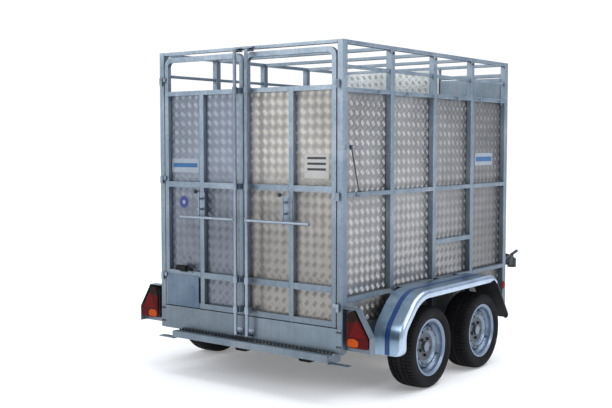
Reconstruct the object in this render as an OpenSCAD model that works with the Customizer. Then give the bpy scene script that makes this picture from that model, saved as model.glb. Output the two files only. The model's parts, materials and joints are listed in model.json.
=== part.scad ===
// Livestock trailer with two close-coupled axles, an open roof and double rear doors.
// X points right, Y points forward and Z points up. The ground is Z = 0, and the origin
// lies on it, under the middle of the whole trailer, drawbar and step included.
// Inside every module Y = 0 is the rear face of the body, and placed() moves it home.

/* [Body] */
// Width over the body posts
body_w = 1522; // [1500:2:1540]
// Length over the body posts
body_l = 2184; // [2170:2:2200]
// Height of the top rail above the ground
body_top = 2166; // [2160:1:2190]
// Height of the deck above the ground
deck_z = 455; // [453:1:457]
// Height of the middle of the belt rail at half height
belt_z = 1251; // [1240:1:1262]
// Top of the plated part of the walls
plate_top = 1889; // [1880:1:1900]

/* [Running gear] */
// Distance of the rear axle from the rear of the body
axle_y = 677; // [670:1:684]
// Distance between the two axles
axle_pitch = 695; // [690:1:700]
// Outer radius of the tyres
tyre_r = 262.5; // [260:0.5:264]
// Width of a tyre
tyre_w = 195; // [190:1:198]
// Distance of the tyres' middle plane from the trailer's centre line
wheel_x = 890; // [889:1:893]

/* [Drawbar] */
// Distance of the coupling's nose from the rear of the body
nose_y = 3945; // [3940:1:3950]
// Radius of the coupling's ball socket
socket_r = 25.3; // [25.2:0.1:25.4]
// Height of the draw tube's axis
draw_z = 445; // [443:1:447]

/* [Hidden] */
$fn = 48;

// Gap left at a weld or a lap, so that every tube stays a solid of its own
weld = 0.4;
// Wall of the body and door tubes
tube_wall = 2.5;
// Sheet of the tread plates
sheet_t = 3;
// How far the rear step stands behind the body
step_back = 85;
// Where the rear face of the body lies along Y
rear_y = -(nose_y - step_back) / 2;

half_w = body_w / 2;
// Depth of the side frames across the body, and width of a corner and of a middle post along it
frame_x = 40;
corner_y = 50;
post_y = 44;
post_in = half_w - frame_x;
// Centres of the middle posts along the body
post_places = [for (i = [1:3]) corner_y / 2 + i * (body_l - corner_y) / 4 - 10];
top_rail_z = body_top - 24;
chassis_bottom = 321;
sheet_deck = 4;
plate_x = post_in - weld;

// Rear doors
door_in_left = 12;
door_in_right = -6;
door_out = post_in - 8;
door_d = 30;
door_bottom = 460;
door_top = 2129;
door_tube = 32;
mullion_x = 357;
mullion_w = 35;
door_rails = [[665, 704], [1265, 1302], [1875, 1904]];
hinge_x = half_w - 27;
hinge_y = -14;
hinge_h = 48;
hinges_left = [655, 1311, 1972];
hinges_right = [583, 1243, 1907];
pin_r = 6;
run = 0.06;

// Lock rods and handle bolts, behind the doors
rod_left_x = -40;
rod_right_x = 55;
rod_y = -48;
rod_r = 11;
rod_bottom = 337;
rod_top = 2148;
rod_guides = [500, 690, 1284, 1890];
finger_h = 10;
collar_r = 14.5;
handle_z = 1075;
handle_y = -62;
bolt_left_x = -364;
bolt_right_x = 340;
bolt_y = -40;
bolt_r = 6;

// Side rails as [low, high, depth]
side_rails = [
    [608, 638, frame_x], [belt_z - 14, belt_z + 14, frame_x],
    [plate_top - 26, plate_top, frame_x], [2002, 2022, 20]
];

// Fender: where it starts, how low and how high it reaches, and its two edges
fender_y = 255;
fender_z = 275;
fender_top = 646;
fender_in = half_w + 55;
fender_out = 1020;
// Slope of the rear leg from upright, how high it starts, and its two bends
rear_slope = 44;
rear_corner_z = 436;
bend_low = 160;
bend_high = 290;
// Slope and bend of the front leg, where it meets the height of the top, and how low it ends
front_slope = 35.5;
front_bend = 140;
fender_front_y = 1485;
fender_front_z = 308;
bend_gap = 0.1;
fender_t = 2;
lip_h = 51;
front_lip_h = 16;

// Suspension: the torsion axle's centre from the wheel's centre
arm_dy = 157;
arm_z = 291;
stub_r = 17;

// Jockey wheel and drawbar
jockey_x = -150;
jockey_y = 3330;
jockey_trail = 40;
jockey_r = 98;
jockey_z = 102;
bar_low = 331;
bar_high = 401;
ball_y = nose_y - 42;
ball_z = 400;
lever_y = nose_y - 95;

galv = "#aab4bf";
tread = "#b5b2ab";
black = "#222222";

module placed() {
    translate([0, rear_y, 0]) children();
}

module both_sides() {
    children();
    mirror([1, 0, 0]) children();
}

module slab(lo, hi) {
    translate(lo) cube(hi - lo);
}

// Hollow tube between two corners, open at both ends along axis 0, 1 or 2
module tube(lo, hi, axis, wall = tube_wall) {
    in_lo = [for (i = [0:2]) i == axis ? lo[i] - 1 : lo[i] + wall];
    in_hi = [for (i = [0:2]) i == axis ? hi[i] + 1 : hi[i] - wall];
    difference() {
        slab(lo, hi);
        slab(in_lo, in_hi);
    }
}

// Round bar from a point, along +X, +Y or +Z
module bar_x(p, r, l) {
    translate(p) rotate([0, 90, 0]) cylinder(r = r, h = l);
}
module bar_y(p, r, l) {
    translate(p) rotate([-90, 0, 0]) cylinder(r = r, h = l);
}
module bar_z(p, r, l) {
    translate(p) cylinder(r = r, h = l);
}

// ---------------------------------------------------------------- chassis

module chassis_frame() color(galv) placed() {
    both_sides()
        tube([post_in - 60.4, 4, chassis_bottom], [plate_x, body_l - 4, deck_z - sheet_deck - weld], 1, 4);
    cross_x = post_in - 61;
    for (y = [4, 262, 480, 1036, 1660])
        tube([-cross_x, y, 371], [cross_x, y + 60, deck_z - sheet_deck - weld], 0, 3);
    tube([-cross_x, body_l - 64, bar_low], [cross_x, body_l - 4, deck_z - sheet_deck - weld], 0, 3);
}

// One leg of the V drawbar, seen from above, shrunk sideways by the wall
module drawbar_outline(wall) {
    polygon([[440 + wall, body_l - weld - 3 - wall], [504 - wall, body_l - weld - 3 - wall],
             [76 - wall, 3420 + wall], [12 + wall, 3420 + wall]]);
}

module drawbar() color(galv) placed() {
    both_sides() difference() {
        translate([0, 0, bar_low]) linear_extrude(bar_high - bar_low) drawbar_outline(0);
        translate([0, 0, bar_low + 4]) linear_extrude(bar_high - bar_low - 8) drawbar_outline(4);
    }
    slab([-105, 3330, bar_high + weld], [105, 3420, bar_high + 6.4]);
    slab([-150, 3130, bar_high + weld], [150, 3190, bar_high + 6.4]);
}

module floor_plate() color(tread) placed()
    slab([-plate_x + 4, 4, deck_z - sheet_deck], [plate_x - 4, body_l - 4 - corner_y, deck_z]);

module axle_beams() color("#7d858c") placed()
    for (y = [axle_y, axle_y + axle_pitch] + [arm_dy, arm_dy]) {
        tube([-half_w + 3, y - 30, arm_z - 30], [half_w - 3, y + 30, arm_z + 30 - weld], 0, 3);
        both_sides() for (d = [-62, 30.4])
            slab([post_in - 58, y + d, arm_z + 18], [post_in - 6, y + d + 31.6, arm_z + 30 - weld]);
    }

module anti_tip_feet() color(black) placed()
    both_sides() translate([275, 292, 0]) {
        tube([-25, -25, 215.4], [25, 25, 370.6], 2, 3);
        rotate([90, 0, 0]) translate([0, 0, -25]) linear_extrude(50)
            polygon([[-62, 215], [-62, 190], [-48, 150], [-40, 145],
                     [40, 145], [48, 150], [62, 190], [62, 215]]);
    }

// ---------------------------------------------------------------- body

module side_posts() {
    for (y = [0, body_l - corner_y])
        tube([post_in, y, chassis_bottom], [half_w, y + corner_y, body_top], 2);
    for (y = post_places)
        tube([post_in, y - post_y / 2, 330], [half_w, y + post_y / 2, top_rail_z - weld], 2);
}

// Free lengths between the posts, as [start, end]
bays = [
    [corner_y, post_places[0] - post_y / 2], [post_places[0] + post_y / 2, post_places[1] - post_y / 2],
    [post_places[1] + post_y / 2, post_places[2] - post_y / 2],
    [post_places[2] + post_y / 2, body_l - corner_y]
];

module side_rail_set() {
    for (bay = bays, r = side_rails) {
        inset = (frame_x - r[2]) / 2;
        tube([post_in + inset, bay[0] + weld, r[0]], [half_w - inset, bay[1] - weld, r[1]], 1, 2);
    }
    tube([post_in, corner_y + weld, top_rail_z], [half_w, body_l - corner_y - weld, body_top], 1, 2);
}

module side_frames() color(galv) placed() {
    both_sides() {
        side_posts();
        side_rail_set();
    }
    tube([post_in, bays[2][0] + weld, 869], [half_w, bays[2][1] - weld, 902], 1, 2);
}

// The front wall: a fixed plated part on the left and a door opening on the right
front_in = body_l - 34;
front_stile_x = 150;
front_head_z = 2060;

module front_wall_frame() color(galv) placed() {
    tube([-plate_x, front_in, top_rail_z], [plate_x, body_l, body_top], 0, 2);
    tube([front_stile_x, front_in, deck_z + weld], [front_stile_x + 34, body_l, top_rail_z - weld], 2);
    tube([front_stile_x + 34 + weld, front_in, front_head_z], [plate_x, body_l, front_head_z + 27], 0, 2);
    tube([-305, front_in, deck_z + weld], [-265, body_l, top_rail_z - weld], 2);
    for (z = [[456, 482], [608, 638], [belt_z - 14, belt_z + 14], [plate_top - 26, plate_top]]) {
        tube([-plate_x, front_in, z[0]], [-305 - weld, body_l, z[1]], 0, 2);
        tube([-265 + weld, front_in, z[0]], [front_stile_x - weld, body_l, z[1]], 0, 2);
    }
}

module roof_bars() color(galv) placed() {
    tube([-plate_x, 0, 2146], [plate_x, 40, body_top], 0, 2);
    for (y = post_places)
        tube([-plate_x, y - 12, top_rail_z], [plate_x, y + 12, body_top - 1], 0, 2);
}

module wall_plates() color(tread) placed() {
    both_sides()
        slab([plate_x - sheet_t + weld, 4, deck_z + weld], [plate_x - 0.2, front_in - weld, plate_top]);
    slab([-plate_x + 4, front_in - sheet_t - weld, deck_z + weld],
         [front_stile_x + 30, front_in - weld, top_rail_z]);
}

module sill_panels() color(galv) placed()
    slab([-half_w + 4, -3 - weld, 302], [half_w - 4, -weld, deck_z]);

module frame_bolts() color("#c5cbd1") placed() {
    both_sides() {
        for (x = [half_w - 34, half_w - 14], z = [346, 434])
            bar_y([x, -9, z], 7, 5.6, $fn = 6);
        for (y = post_places)
            bar_x([half_w + weld, y, top_rail_z - 20], 8, 5, $fn = 6);
    }
}

// Hooks for the roof net's rope, under the rail at the top of the plates, and the stays' brackets
hook_places = [for (i = [0:5]) 380 + i * 333];
stay_y = 75;
stay_z = 1536;
stay_end_y = 155;
stay_end_z = belt_z + 21;

module rope_hook(y) {
    bar_x([half_w + weld, y, plate_top - 14], 4.5, 13.6);
    bar_z([half_w + 14, y, plate_top - 46], 4.5, 36);
}

module side_fittings() color(galv) placed() both_sides() {
    for (y = hook_places) rope_hook(y);
    slab([half_w + weld, 30, stay_z - 16], [half_w + 4, stay_y + 12, stay_z + 16]);
    bar_x([half_w + 2, stay_y, stay_z], 5, 20);
    slab([half_w + weld, stay_end_y - 16, stay_end_z - 34], [half_w + 4, stay_end_y + 16, stay_end_z - 9]);
    slab([half_w + 3, stay_end_y - 12, stay_end_z - 30], [half_w + 28, stay_end_y + 12, stay_end_z - 26]);
}

// ---------------------------------------------------------------- rear step

step_z = 263;
step_h = 42;
step_half = 640;
// How far the step sits to the right of the middle, and how far its ends reach past its tube
step_x = 70;
step_end = 142;

module rear_step() color(galv) placed() {
    translate([step_x, 0, 0]) {
        tube([-step_half, -step_back, step_z], [step_half, -step_back + 40, step_z + step_h], 0, 3);
        both_sides() {
            slab([step_half + weld, -step_back + 2, 250], [step_half + 5, 48, step_z + step_h - 4]);
            slab([step_half + 4, -step_back + 12, 250], [step_half + step_end, -step_back + 62, 256]);
        }
    }
    hanger_z = step_z + step_h - 5;
    slab([-half_w + 2, 2, hanger_z], [step_x - step_half - weld, 46, chassis_bottom - weld]);
    slab([step_x + step_half + weld, 2, hanger_z], [half_w - 2, 46, chassis_bottom - weld]);
}

// Toothed open grating: two long bars and upright cross bars whose tops are cut to teeth
grate_pitch = 29.5;
grate_count = 43;
tooth_h = 14;

module grate_bar() {
    rotate([90, 0, 90]) linear_extrude(3)
        polygon([[-44.6, 275], [-4.4, 275], [-4.4, 303], [-8, 303 + tooth_h], [-16, 303 + tooth_h],
                 [-20, 303], [-29, 303], [-33, 303 + tooth_h], [-41, 303 + tooth_h], [-44.6, 303]]);
}

module step_grating() color("#4a5058") placed() {
    start_x = step_x - (grate_count - 1) / 2 * grate_pitch;
    for (i = [0:grate_count - 1])
        translate([start_x + i * grate_pitch, 0, 0]) grate_bar();
    for (i = [0:grate_count - 2], y = [-40, -24, -10])
        translate([start_x + i * grate_pitch + 3.2, y, 278]) cube([grate_pitch - 3.4, 3, 22]);
}

// ---------------------------------------------------------------- fenders

// Sections of a fender, as [across, outward]: its crown, and the lip along its outer edge
module fender_crown() {
    translate([fender_in, -fender_t]) square([fender_out - fender_in - fender_t - weld, fender_t]);
}
module fender_lip(h) {
    translate([fender_out - fender_t, -h]) square([fender_t, h]);
}

// A straight length of fender from a point on its outline, rising at an angle from level
module fender_flat(y, z, angle, length) {
    translate([0, y, z]) rotate([angle, 0, 0]) rotate([-90, 0, 0]) mirror([0, 1, 0])
        translate([0, 0, weld / 2]) linear_extrude(length - weld) children();
}

// A bend of fender about a centre, from one angle through a sweep, with its crown outward
module fender_bend(y, z, r, start, sweep) {
    translate([0, y, z]) rotate([start, 0, 0]) rotate([90, 0, 90]) rotate([0, 0, bend_gap])
        rotate_extrude(angle = sweep - 2 * bend_gap, $fn = 96) mirror([1, 0, 0]) rotate([0, 0, 90])
            translate([0, r]) children();
}

// Lengths and corners of the outline
low_t = bend_low * tan(rear_slope / 2);
high_t = bend_high * tan((90 - rear_slope) / 2);
front_t = front_bend * tan((90 - front_slope) / 2);
high_y = fender_y + (fender_top - rear_corner_z) * tan(rear_slope);
slope_len = (fender_top - rear_corner_z) / cos(rear_slope) - low_t - high_t;
front_dy = (fender_top - fender_front_z) * tan(front_slope);
front_len = (fender_top - fender_front_z) / cos(front_slope) - front_t;

// The rear leg bends and ends upright, the top is level, and the front leg runs straight down.
// The first child is the section up to the front bend, the second that of the front leg.
module fender_outline() {
    fender_flat(fender_y, fender_z, 90, rear_corner_z - low_t - fender_z) children(0);
    fender_bend(fender_y + bend_low, rear_corner_z - low_t, bend_low, 180 - rear_slope, rear_slope)
        children(0);
    fender_flat(fender_y + low_t * sin(rear_slope), rear_corner_z + low_t * cos(rear_slope),
                90 - rear_slope, slope_len) children(0);
    fender_bend(high_y + high_t, fender_top - bend_high, bend_high, 90, 90 - rear_slope) children(0);
    fender_flat(high_y + high_t, fender_top, 0, fender_front_y - high_y - high_t - front_t) children(0);
    translate([0, fender_front_y, 0]) mirror([0, 1, 0]) {
        fender_bend(front_t, fender_top - front_bend, front_bend, 90, 90 - front_slope) children(0);
        fender_flat(-front_dy, fender_front_z, 90 - front_slope, front_len) children(1);
    }
}

// Upright stays on the side of the body that carry the crown
fender_stays = [600, 1082, 1350];

module fenders() color("#9fb0c4") placed() both_sides() {
    fender_outline() {
        fender_crown();
        fender_crown();
    }
    fender_outline() {
        fender_lip(lip_h);
        fender_lip(front_lip_h);
    }
    for (y = fender_stays)
        slab([half_w + weld, y - 3, 612], [fender_out - 70, y + 3, fender_top - fender_t - weld]);
}

// ---------------------------------------------------------------- lamps

lamp_in = half_w + 30;
lamp_out = half_w + 192;
lamp_low = 352;
lamp_high = 573;

// Outline of a tail lamp from behind, wide below and narrow above
module lamp_outline() {
    translate([lamp_in + 48, lamp_high - 48]) difference() {
        circle(r = 48);
        translate([0, -50]) square([60, 100]);
    }
    polygon([[lamp_in, lamp_low], [lamp_out, lamp_low], [lamp_out, lamp_low + 68], [lamp_in + 68, lamp_high],
             [lamp_in + 48, lamp_high], [lamp_in + 48, lamp_high - 48], [lamp_in, lamp_high - 48]]);
}

// A slice of the lamp between two depths
module lamp_slice(y_low, y_high) {
    translate([0, y_high, 0]) rotate([90, 0, 0]) linear_extrude(y_high - y_low) children();
}

// The lower inner corner, where the indicator sits
module amber_zone() {
    translate([lamp_in - 1, lamp_low - 1]) square([92, 60]);
}

module lamp_housings() color(black) placed() both_sides()
    lamp_slice(6, 44) lamp_outline();

module lamp_lenses_red() color("#7a1010") placed() both_sides()
    lamp_slice(-10, 6 - weld) difference() {
        lamp_outline();
        amber_zone();
    }

module lamp_lenses_amber() color("#e8641a") placed() both_sides()
    lamp_slice(-10, 6 - weld) intersection() {
        lamp_outline();
        translate([-weld, -weld]) amber_zone();
    }

module lamp_brackets() color(galv) placed() both_sides() {
    lamp_slice(44.4, 47) polygon([[half_w + weld, 322], [half_w + 201, 322], [half_w + 201, 424],
                                   [half_w + 104, 585], [half_w + weld, 585]]);
    lamp_slice(-8, 44) polygon([[half_w + 198.5, 322], [half_w + 201, 322], [half_w + 201, 424],
                                [half_w + 104, 585], [half_w + weld, 585], [half_w + weld, 582.5],
                                [half_w + 102.5, 582.5], [half_w + 198.5, 423.3]]);
}

module side_markers() color("#8c2a14") placed() both_sides()
    bar_x([half_w + weld, body_l - 48, 471], 32, 12);

// ---------------------------------------------------------------- rear doors

module hinge_fixed(z) {
    bar_z([hinge_x, hinge_y, z - hinge_h / 2], 11, hinge_h / 2 - 0.3);
    bar_z([hinge_x, hinge_y, z - hinge_h / 2], pin_r, hinge_h - 3);
    slab([hinge_x - 4, hinge_y, z - hinge_h / 2], [hinge_x + 8, -weld, z - 0.3]);
}

module hinge_moving(z) {
    difference() {
        union() {
            bar_z([hinge_x, hinge_y, z], 11, hinge_h / 2);
            slab([door_out - 14, -12, z], [hinge_x - 8, -weld, z + hinge_h / 2]);
        }
        bar_z([hinge_x, hinge_y, z - 1], pin_r + run, hinge_h);
    }
}

module door_hinge_pins() color("#d5dae0") placed() {
    for (z = hinges_right) hinge_fixed(z);
    mirror([1, 0, 0]) for (z = hinges_left) hinge_fixed(z);
    front_hinge_pins();
}

// Lip on a plate of the frame, above or below a rod's finger
module keeper_lip(x, z, face) {
    slab([x - 26, -32, z], [x + 26, face - weld, z + 4]);
}

module rod_keepers() color("#c5cbd1") placed() {
    top_face = -3 - weld;
    low_face = -7.2;
    for (x = [rod_left_x, rod_right_x]) {
        slab([x - 26, top_face, rod_top - 16], [x + 26, -weld, body_top - 2]);
        keeper_lip(x, rod_top - finger_h - 6, top_face);
        slab([x - 26, low_face, rod_bottom - 6], [x + 26, low_face + 3.4, rod_bottom + 40]);
        keeper_lip(x, rod_bottom - 6, low_face);
        keeper_lip(x, rod_bottom + finger_h + 2, low_face);
    }
    bar_x([rod_left_x - 26, top_face - weld - 8, body_top - 9], 8, rod_right_x - rod_left_x + 52);
}

// A leaf seen as the right one, from its meeting edge at x_in to its hinge edge
module door_frame(x_in) {
    r = 60;
    hoop_z = door_top - r;
    for (x = [x_in, door_out - door_tube])
        tube([x, 0, door_bottom], [x + door_tube, door_d, hoop_z - weld], 2);
    tube([x_in + r + weld, 0, door_top - door_tube], [door_out - r - weld, door_d, door_top], 0);
    translate([door_out - r, door_d, hoop_z]) rotate([90, 0, 0]) door_bend(r);
    translate([x_in + r, door_d, hoop_z]) rotate([90, 0, 0]) rotate([0, 0, 90]) door_bend(r);
    for (part = [[x_in + door_tube, mullion_x], [mullion_x + mullion_w, door_out - door_tube]],
         z = concat([[door_bottom, door_bottom + 35]], door_rails))
        tube([part[0] + weld, 0, z[0]], [part[1] - weld, door_d, z[1]], 0);
    tube([mullion_x, 0, door_bottom], [mullion_x + mullion_w, door_d, door_rails[2][1]], 2);
}

module door_bend(r) {
    rotate_extrude(angle = 90, $fn = 96) translate([r - door_tube, 0]) difference() {
        square([door_tube, door_d]);
        translate([tube_wall, tube_wall]) square([door_tube - 2 * tube_wall, door_d - 2 * tube_wall]);
    }
}

module door_plate(x_in)
    slab([x_in + 2, door_d + weld, door_bottom + 2],
         [door_out - 2, door_d + weld + sheet_t, door_rails[2][1] - 4]);

// Guide for a lock rod: a sleeve on a web that stands on the stile
module rod_guide(x, web_lo, web_hi, z) {
    difference() {
        union() {
            bar_z([x, rod_y, z - 22], 16, 44);
            slab([web_lo, rod_y + 12, z - 18], [web_hi, -weld, z + 18]);
        }
        bar_z([x, rod_y, z - 30], rod_r + run, 60);
    }
}

// Guide plate and two lugs for a handle bolt
module bolt_guide(x, plate_lo, plate_hi) {
    slab([plate_lo, -4 - weld, 1070], [plate_hi, -weld, 1236]);
    for (z = [1120, 1190]) difference() {
        slab([x - 11, bolt_y - 10, z], [x + 11, -5 - weld, z + 12]);
        bar_z([x, bolt_y, z - 5], bolt_r + run, 30);
    }
}

module door_left_frame() color(galv) placed() mirror([1, 0, 0]) door_frame(door_in_left);
module door_right_frame() color(galv) placed() door_frame(door_in_right);
module door_left_plate() color(tread) placed() mirror([1, 0, 0]) door_plate(door_in_left);
module door_right_plate() color(tread) placed() door_plate(door_in_right);

module door_left_hardware() color("#c5cbd1") placed() {
    mirror([1, 0, 0]) for (z = hinges_left) hinge_moving(z);
    for (z = rod_guides) rod_guide(rod_left_x, rod_left_x - 5, rod_left_x + 26, z);
    bolt_guide(bolt_left_x, -mullion_x - mullion_w + 2, bolt_left_x + 17);
}

module door_right_hardware() color("#c5cbd1") placed() {
    for (z = hinges_right) hinge_moving(z);
    for (z = rod_guides) rod_guide(rod_right_x, rod_right_x - 33, rod_right_x + 5, z);
    bolt_guide(bolt_right_x, bolt_right_x - 17, mullion_x + mullion_w - 7);
}

// Plate for a number plate, with its two fixing holes
panel_x = [-698, -406];
panel_holes = 180;

module number_plate_panel() color("#a9b3bd") placed() difference() {
    slab([panel_x[0], -3 - weld, door_bottom + 2], [panel_x[1], -weld, 675]);
    for (s = [-1, 1])
        bar_y([(panel_x[0] + panel_x[1]) / 2 + s * panel_holes / 2, -10, 600], 3.5, 20, $fn = 32);
}

module plate_light() color(black) placed() {
    slab([-588, -38, 709], [-500, -3, 741]);
    slab([-580, -3, 696], [-508, -weld, 738]);
}

// A lock rod with its fingers, and a handle that reaches away from it by the given length
module lock_rod(x, reach) {
    bar_z([x, rod_y, rod_bottom], rod_r, rod_top - rod_bottom);
    difference() {
        union() {
            for (z = [rod_bottom, rod_top - finger_h])
                slab([x - 8, rod_y, z], [x + 8, -15, z + finger_h]);
            bar_z([x, rod_y, handle_z - 20], collar_r, 40);
        }
        bar_z([x, rod_y, rod_bottom - 1], rod_r + weld, rod_top - rod_bottom + 2);
    }
    difference() {
        bar_x([min(x, x + reach), handle_y, handle_z], 9, abs(reach));
        bar_z([x, rod_y, handle_z - 30], collar_r + weld, 60);
    }
}

module lock_rod_left() color("#d5dae0") placed() lock_rod(rod_left_x, -470);
module lock_rod_right() color("#d5dae0") placed() lock_rod(rod_right_x, 505);

module handle_bolt(x) {
    bar_z([x, bolt_y, 1045], bolt_r, 205);
    bar_y([x, -70, 1244], bolt_r, 30);
    translate([x, -70, 1244]) sphere(r = 14);
}

module handle_bolt_left() color("#d5dae0") placed() handle_bolt(bolt_left_x);
module handle_bolt_right() color("#d5dae0") placed() handle_bolt(bolt_right_x);

// Stay that holds an open door, hung from the side of the body
module door_stay() {
    dy = stay_end_y - stay_y;
    dz = stay_end_z - stay_z;
    reach = norm([dy, dz]);
    difference() {
        union() {
            bar_x([half_w + 6, stay_y, stay_z], 12, 8);
            translate([half_w + 10, stay_y, stay_z]) rotate([atan2(dy, -dz) + 180, 0, 0])
                translate([0, 0, 9]) cylinder(r = 4, h = reach - 9);
        }
        bar_x([half_w, stay_y, stay_z], 5 + run, 20);
    }
    bar_x([half_w + 6, stay_end_y, stay_end_z], 4, 24);
}

module door_stay_left() color("#d5dae0") placed() mirror([1, 0, 0]) door_stay();
module door_stay_right() color("#d5dae0") placed() door_stay();

// ---------------------------------------------------------------- front door

front_hinge_x = post_in + 1;
front_hinge_y = body_l + 12;
front_hinges = [850, 1340, 1880];
leaf_lo = [front_stile_x + 40, 462];
leaf_hi = [post_in - 7, front_head_z - 6];

module front_door() color(galv) placed() {
    for (x = [leaf_lo[0], leaf_hi[0] - 30])
        tube([x, body_l - 32, leaf_lo[1]], [x + 30, body_l - 2, leaf_hi[1]], 2);
    for (z = [leaf_lo[1], belt_z - 15, leaf_hi[1] - 30])
        tube([leaf_lo[0] + 30 + weld, body_l - 32, z], [leaf_hi[0] - 30 - weld, body_l - 2, z + 30], 0);
    slab([leaf_lo[0] + 2, body_l - 35, leaf_lo[1] + 2],
         [leaf_hi[0] - 2, body_l - 32 - weld, leaf_hi[1] - 2]);
    for (z = front_hinges) difference() {
        union() {
            bar_z([front_hinge_x, front_hinge_y, z], 10, 30);
            slab([leaf_hi[0] - 28, body_l - 2 + weld, z], [front_hinge_x - 7.5, body_l + 8, z + 30]);
        }
        bar_z([front_hinge_x, front_hinge_y, z - 1], pin_r + run, 60);
    }
}

latch_z = 1200;

module front_door_latch() color("#5a6066") placed() {
    bar_y([leaf_lo[0] + 15, body_l - 2 + weld, latch_z], 14, 16);
    slab([leaf_lo[0] + 5, body_l + 8, latch_z - 120], [leaf_lo[0] + 25, body_l + 14, latch_z]);
    slab([leaf_lo[0] - 30, body_l + 3, latch_z - 8], [leaf_lo[0] + 15, body_l + 8, latch_z + 8]);
}

module front_hinge_pins() {
    for (z = front_hinges) {
        bar_z([front_hinge_x, front_hinge_y, z - 30], 10, 29.7);
        bar_z([front_hinge_x, front_hinge_y, z - 30], pin_r, 57);
        slab([front_hinge_x + 2, body_l + weld, z - 30], [front_hinge_x + 12, front_hinge_y, z - 0.3]);
    }
}

// ---------------------------------------------------------------- axles and wheels

// Trailing arm of one wheel: a plate, the shaft in the axle beam and the stub that carries the hub
module arm() {
    dz = arm_z - tyre_r;
    reach = norm([arm_dy, dz]);
    translate([half_w + 4, 0, tyre_r]) rotate([90, 0, 90]) linear_extrude(24) {
        circle(r = 28);
        rotate(atan2(dz, arm_dy)) {
            translate([reach, 0]) circle(r = 30);
            translate([0, -22]) square([reach, 44]);
        }
    }
    bar_x([post_in - 30, arm_dy, arm_z], 18, frame_x + 36);
    bar_x([half_w + 26, 0, tyre_r], stub_r, wheel_x - half_w - 16);
}

module at_wheel(front, left) {
    mirror([left ? 1 : 0, 0, 0]) translate([0, rear_y + axle_y + front * axle_pitch, 0]) children();
}

// Steel rim with its flanges and its vented disc, and the hub with drum, cap and bolts
bead_r = 166;
flange_r = 182.5;
rim_half = 84;
valve_angle = 63;

module rim_barrel() {
    rotate_extrude($fn = 96) polygon([
        [flange_r, -rim_half], [flange_r, 3.2 - rim_half], [bead_r, 4 - rim_half], [bead_r, -52],
        [148, -44], [148, 30], [bead_r, 48], [bead_r, rim_half - 4], [flange_r, rim_half - 3.2],
        [flange_r, rim_half], [172, rim_half], [bead_r - 4, 74], [bead_r - 4, 50], [144, 32],
        [144, -46], [bead_r - 4, -54], [bead_r - 6, -rim_half]
    ]);
}

module rim_disc() {
    difference() {
        rotate_extrude($fn = 96) polygon([
            [143.6, 26], [133, 35], [127, 52], [121, 56], [108, 56], [92, 38], [34, 38], [34, 33],
            [94, 33], [110, 51], [119, 51], [122, 49], [129, 32], [143.6, 20]
        ]);
        for (i = [0:11])
            rotate([0, 0, i * 30]) translate([117, 0, 0]) cylinder(r = 8, h = 70, $fn = 24);
    }
}

// Drum, mounting face and cap of the hub, bored for the stub
module hub() {
    difference() {
        union() {
            translate([0, 0, -72]) cylinder(r = 108, h = 66);
            translate([0, 0, -7]) cylinder(r = 72, h = 39.6);
            translate([0, 0, 32]) cylinder(r = 31, h = 22);
        }
        translate([0, 0, -80]) cylinder(r = stub_r + run, h = 104);
    }
}

module rim() {
    translate([wheel_x, 0, tyre_r]) rotate([0, 90, 0]) {
        rim_barrel();
        rim_disc();
        hub();
        for (i = [0:4])
            rotate([0, 0, i * 72]) translate([56, 0, 38.4]) cylinder(r = 10.5, h = 12, $fn = 6);
        rotate([0, 0, valve_angle]) translate([139.5, 0, 33]) cylinder(r = 3.5, h = 33, $fn = 24);
    }
}

module tyre() {
    w = tyre_w / 2;
    translate([wheel_x, 0, tyre_r]) rotate([0, 90, 0]) rotate_extrude($fn = 96)
        polygon([
            [bead_r + weld, -76], [186, -79], [222, -w], [248, 6 - w], [258, 18 - w], [tyre_r, 40 - w],
            [tyre_r, w - 40], [258, w - 18], [248, w - 6], [222, w], [186, 79], [bead_r + weld, 76],
            [bead_r + weld, 62], [190, 66], [222, w - 12], [240, w - 20], [249, w - 45],
            [249, 45 - w], [240, 20 - w], [222, 12 - w], [190, -66], [bead_r + weld, -62]
        ]);
}

module painted_rim() color("#c9ced3") rim();
module painted_tyre() color(black) tyre();
module painted_arm() color("#7d858c") arm();

// ---------------------------------------------------------------- coupling

module coupling_housing() color(galv) placed() {
    difference() {
        union() {
            slab([-42, 3340, bar_high + 6.8], [42, 3410, draw_z + 44]);
            slab([-36, 3400, draw_z - 36], [36, 3600, draw_z + 40]);
            bar_y([0, 3590, draw_z], 34, 30);
        }
        bar_y([0, 3300, draw_z], 25 + run, 400);
    }
    bar_x([36 + weld, 3560, draw_z + 15], 10, 34);
}

module coupling_gaiter() color(black) placed()
    translate([0, 3620 + weld, draw_z]) rotate([-90, 0, 0]) rotate_extrude()
        polygon(concat([[28, 0]], [for (i = [0:12]) [i % 2 == 0 ? 33 : 40, i * 8.5]], [[28, 102]]));

module coupling_head() color("#3a3d42") placed() {
    bar_y([0, 3360, draw_z], 25, 450);
    difference() {
        union() {
            slab([-30, 3790, 402], [30, ball_y, draw_z + 26]);
            bar_z([0, ball_y, 372], 42, 84);
            for (s = [-1, 1])
                slab([s * 26 - 4, lever_y - 30, draw_z + 20], [s * 26 + 4, lever_y + 30, draw_z + 52]);
        }
        bar_z([0, ball_y, 360], socket_r, ball_z - 360);
        translate([0, ball_y, ball_z]) sphere(r = socket_r);
    }
    bar_x([-26, lever_y, draw_z + 40], 6, 52);
}

module coupling_lever() color(black) placed()
    translate([0, lever_y, draw_z + 40]) rotate([-14, 0, 0]) difference() {
        union() {
            bar_x([-20, 0, 0], 13, 40);
            slab([-16, -150, -4], [16, 0, 8]);
            bar_y([0, -172, 4], 11, 70);
        }
        bar_x([-30, 0, 0], 6 + run, 60);
    }

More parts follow.
